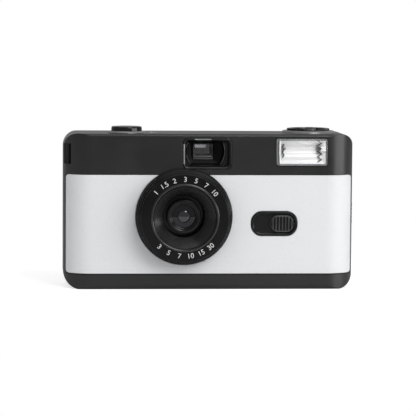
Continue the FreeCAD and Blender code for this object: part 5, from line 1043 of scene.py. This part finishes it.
def makeGroove(s):
    inner, outer = s["radii"]
    low, high = s["low"]
    bend = evenly(s["first"], 90, s["steps"])
    loops = []
    for degrees, side in [(a, 1) for a in bend] + [(a, -1) for a in reversed(bend)]:
        near, far = cornerPoint(s, degrees, inner, side), cornerPoint(s, degrees, outer, side)
        loops.append([(*near, low), (*far, low), (*far, high), (*near, high)])
    joined("panelGapShade", loops, insideBlack, "dark_inside", angle=50)
    first, last = s["ends"]
    places = ((first, inner), (first, outer), (last, outer), (last, inner))
    for name, side in (("Right", 1), ("Left", -1)):
        section = [cornerPoint(s, *place, side) for place in places]
        loops = [[(x, y, z) for x, y in section] for z in s["endZ"]]
        joined("panelGapShade" + name, loops, insideBlack, "dark_inside")


makeSwitch(switch)
makeKnob(knob)
makeButton(button)
makeHandle(handle)
makeRewind(rewind)
makeCounter(counter)
makeGroove(groove)
print("switch, button, crank and counter dressed")


# floor, backdrop and light
studio = {"roomFront": 0.27, "roomBack": 0.42, "roomSpan": (0.55, 0.95), "white": 1.0,
          "aim": (0, -0.01, 0.03)}

# the side lamp and the fill show no highlight; the low edge lamp is only a highlight on the right end
lamps = {
    "keyLamp": {"power": 5.3, "size": (0.6, 0.6), "place": (0.42, -0.80, 0.75)},
    "topLamp": {"power": 1.5, "size": (0.9, 0.7), "place": (-0.15, -0.1, 1.0)},
    "sideLamp": {"power": 4.1, "size": (0.66, 0.7), "place": (0.71, -0.46, 0.36), "mirrored": False},
    "edgeLamp": {"power": 2.1, "size": (0.75, 0.2), "place": (0.80, -0.48, 0.11), "diffuse": False},
    "fillLamp": {"power": 5.6, "size": (1.8, 1.5), "place": (-0.95, -0.75, 0.6), "mirrored": False},
}


def areaLamp(name, aim, power, size, place, mirrored=True, diffuse=True):
    data = bpy.data.lights.new(name, "AREA")
    data.shape, data.energy = "RECTANGLE", power
    data.size, data.size_y = size
    lamp = newObject(name, data)
    lamp.location = place
    lamp.rotation_mode = "QUATERNION"
    lamp.rotation_quaternion = (Vector(aim) - Vector(place)).to_track_quat("-Z", "Y")
    lamp.visible_glossy, lamp.visible_diffuse = mirrored, diffuse


def setStudio(s):
    world = bpy.data.worlds.new("studioWorld")
    bpy.context.scene.world = world
    world.use_nodes = True
    tree = world.node_tree
    tree.nodes.clear()
    # the room is darker in front than behind the subject, where the backdrop hangs
    coords = addNode(tree, "ShaderNodeTexCoord")
    axes = addNode(tree, "ShaderNodeSeparateXYZ", {"Vector": coords.outputs["Generated"]})
    room = remap(tree, axes.outputs["Y"], s["roomFront"], s["roomBack"], *s["roomSpan"])
    lighting = addNode(tree, "ShaderNodeBackground", {"Color": (1, 1, 1, 1), "Strength": room})
    white = addNode(tree, "ShaderNodeBackground", {"Color": (1, 1, 1, 1), "Strength": s["white"]})
    # the eye sees the backdrop white, also straight through the clear pieces
    ray = addNode(tree, "ShaderNodeLightPath").outputs
    straight = calculate(tree, "LESS_THAN", ray["Diffuse Depth"], 0.5)
    clear = calculate(tree, "MULTIPLY", ray["Is Transmission Ray"], straight)
    seen = calculate(tree, "MAXIMUM", ray["Is Camera Ray"], clear)
    pick = mixShaders(tree, seen, lighting.outputs[0], white.outputs[0])
    addNode(tree, "ShaderNodeOutputWorld", {"Surface": pick})
    for name, lamp in lamps.items():
        areaLamp(name, s["aim"], **lamp)


paper = {"half": 2.0, "front": -0.24, "back": 3.0, "colour": (0.62, 0.62, 0.62), "rough": 0.9,
         "fibre": 900.0, "bump": 0.1, "depth": 0.05, "edge": 0.0, "lift": 0.66, "white": 1.0,
         "shadowFade": (0.09, 0.20)}


def layFloor(s):
    # pale paper; the camera sees it white away from the shadow
    mesh = bpy.data.meshes.new("floor")
    wide, front, back = s["half"], s["front"], s["back"]
    corners = [(-wide, front, 0), (wide, front, 0), (wide, back, 0), (-wide, back, 0)]
    mesh.from_pydata(corners, [], [(0, 1, 2, 3)])
    mat, tree, shader = newFinish("floorPaper")
    feed(tree, shader, {"Base Color": (*s["colour"], 1), "Roughness": s["rough"]})
    place = grainMap(tree)
    addRelief(tree, shader, noise(tree, place, s["fibre"], 3.0), s)
    white = addNode(tree, "ShaderNodeEmission", {"Strength": s["white"]})
    lift = addNode(tree, "ShaderNodeEmission", {"Strength": s["lift"]})
    near = addNode(tree, "ShaderNodeAddShader", {0: shader.outputs["BSDF"], 1: lift.outputs[0]})
    distance = addNode(tree, "ShaderNodeVectorMath", {0: place}, operation="LENGTH")
    fade = remap(tree, distance.outputs["Value"], 0, 1, *s["shadowFade"])
    shown = mixShaders(tree, fade, near.outputs[0], white.outputs[0])
    ray = addNode(tree, "ShaderNodeLightPath")
    pick = mixShaders(tree, ray.outputs["Is Camera Ray"], shader.outputs["BSDF"], shown)
    feed(tree, tree.nodes["Material Output"], {"Surface": pick})
    mesh.materials.append(mat)
    floor = newObject("floor", mesh)


setStudio(studio)
layFloor(paper)
bpy.context.scene.view_settings.view_transform = "Standard"
print("studio lit")
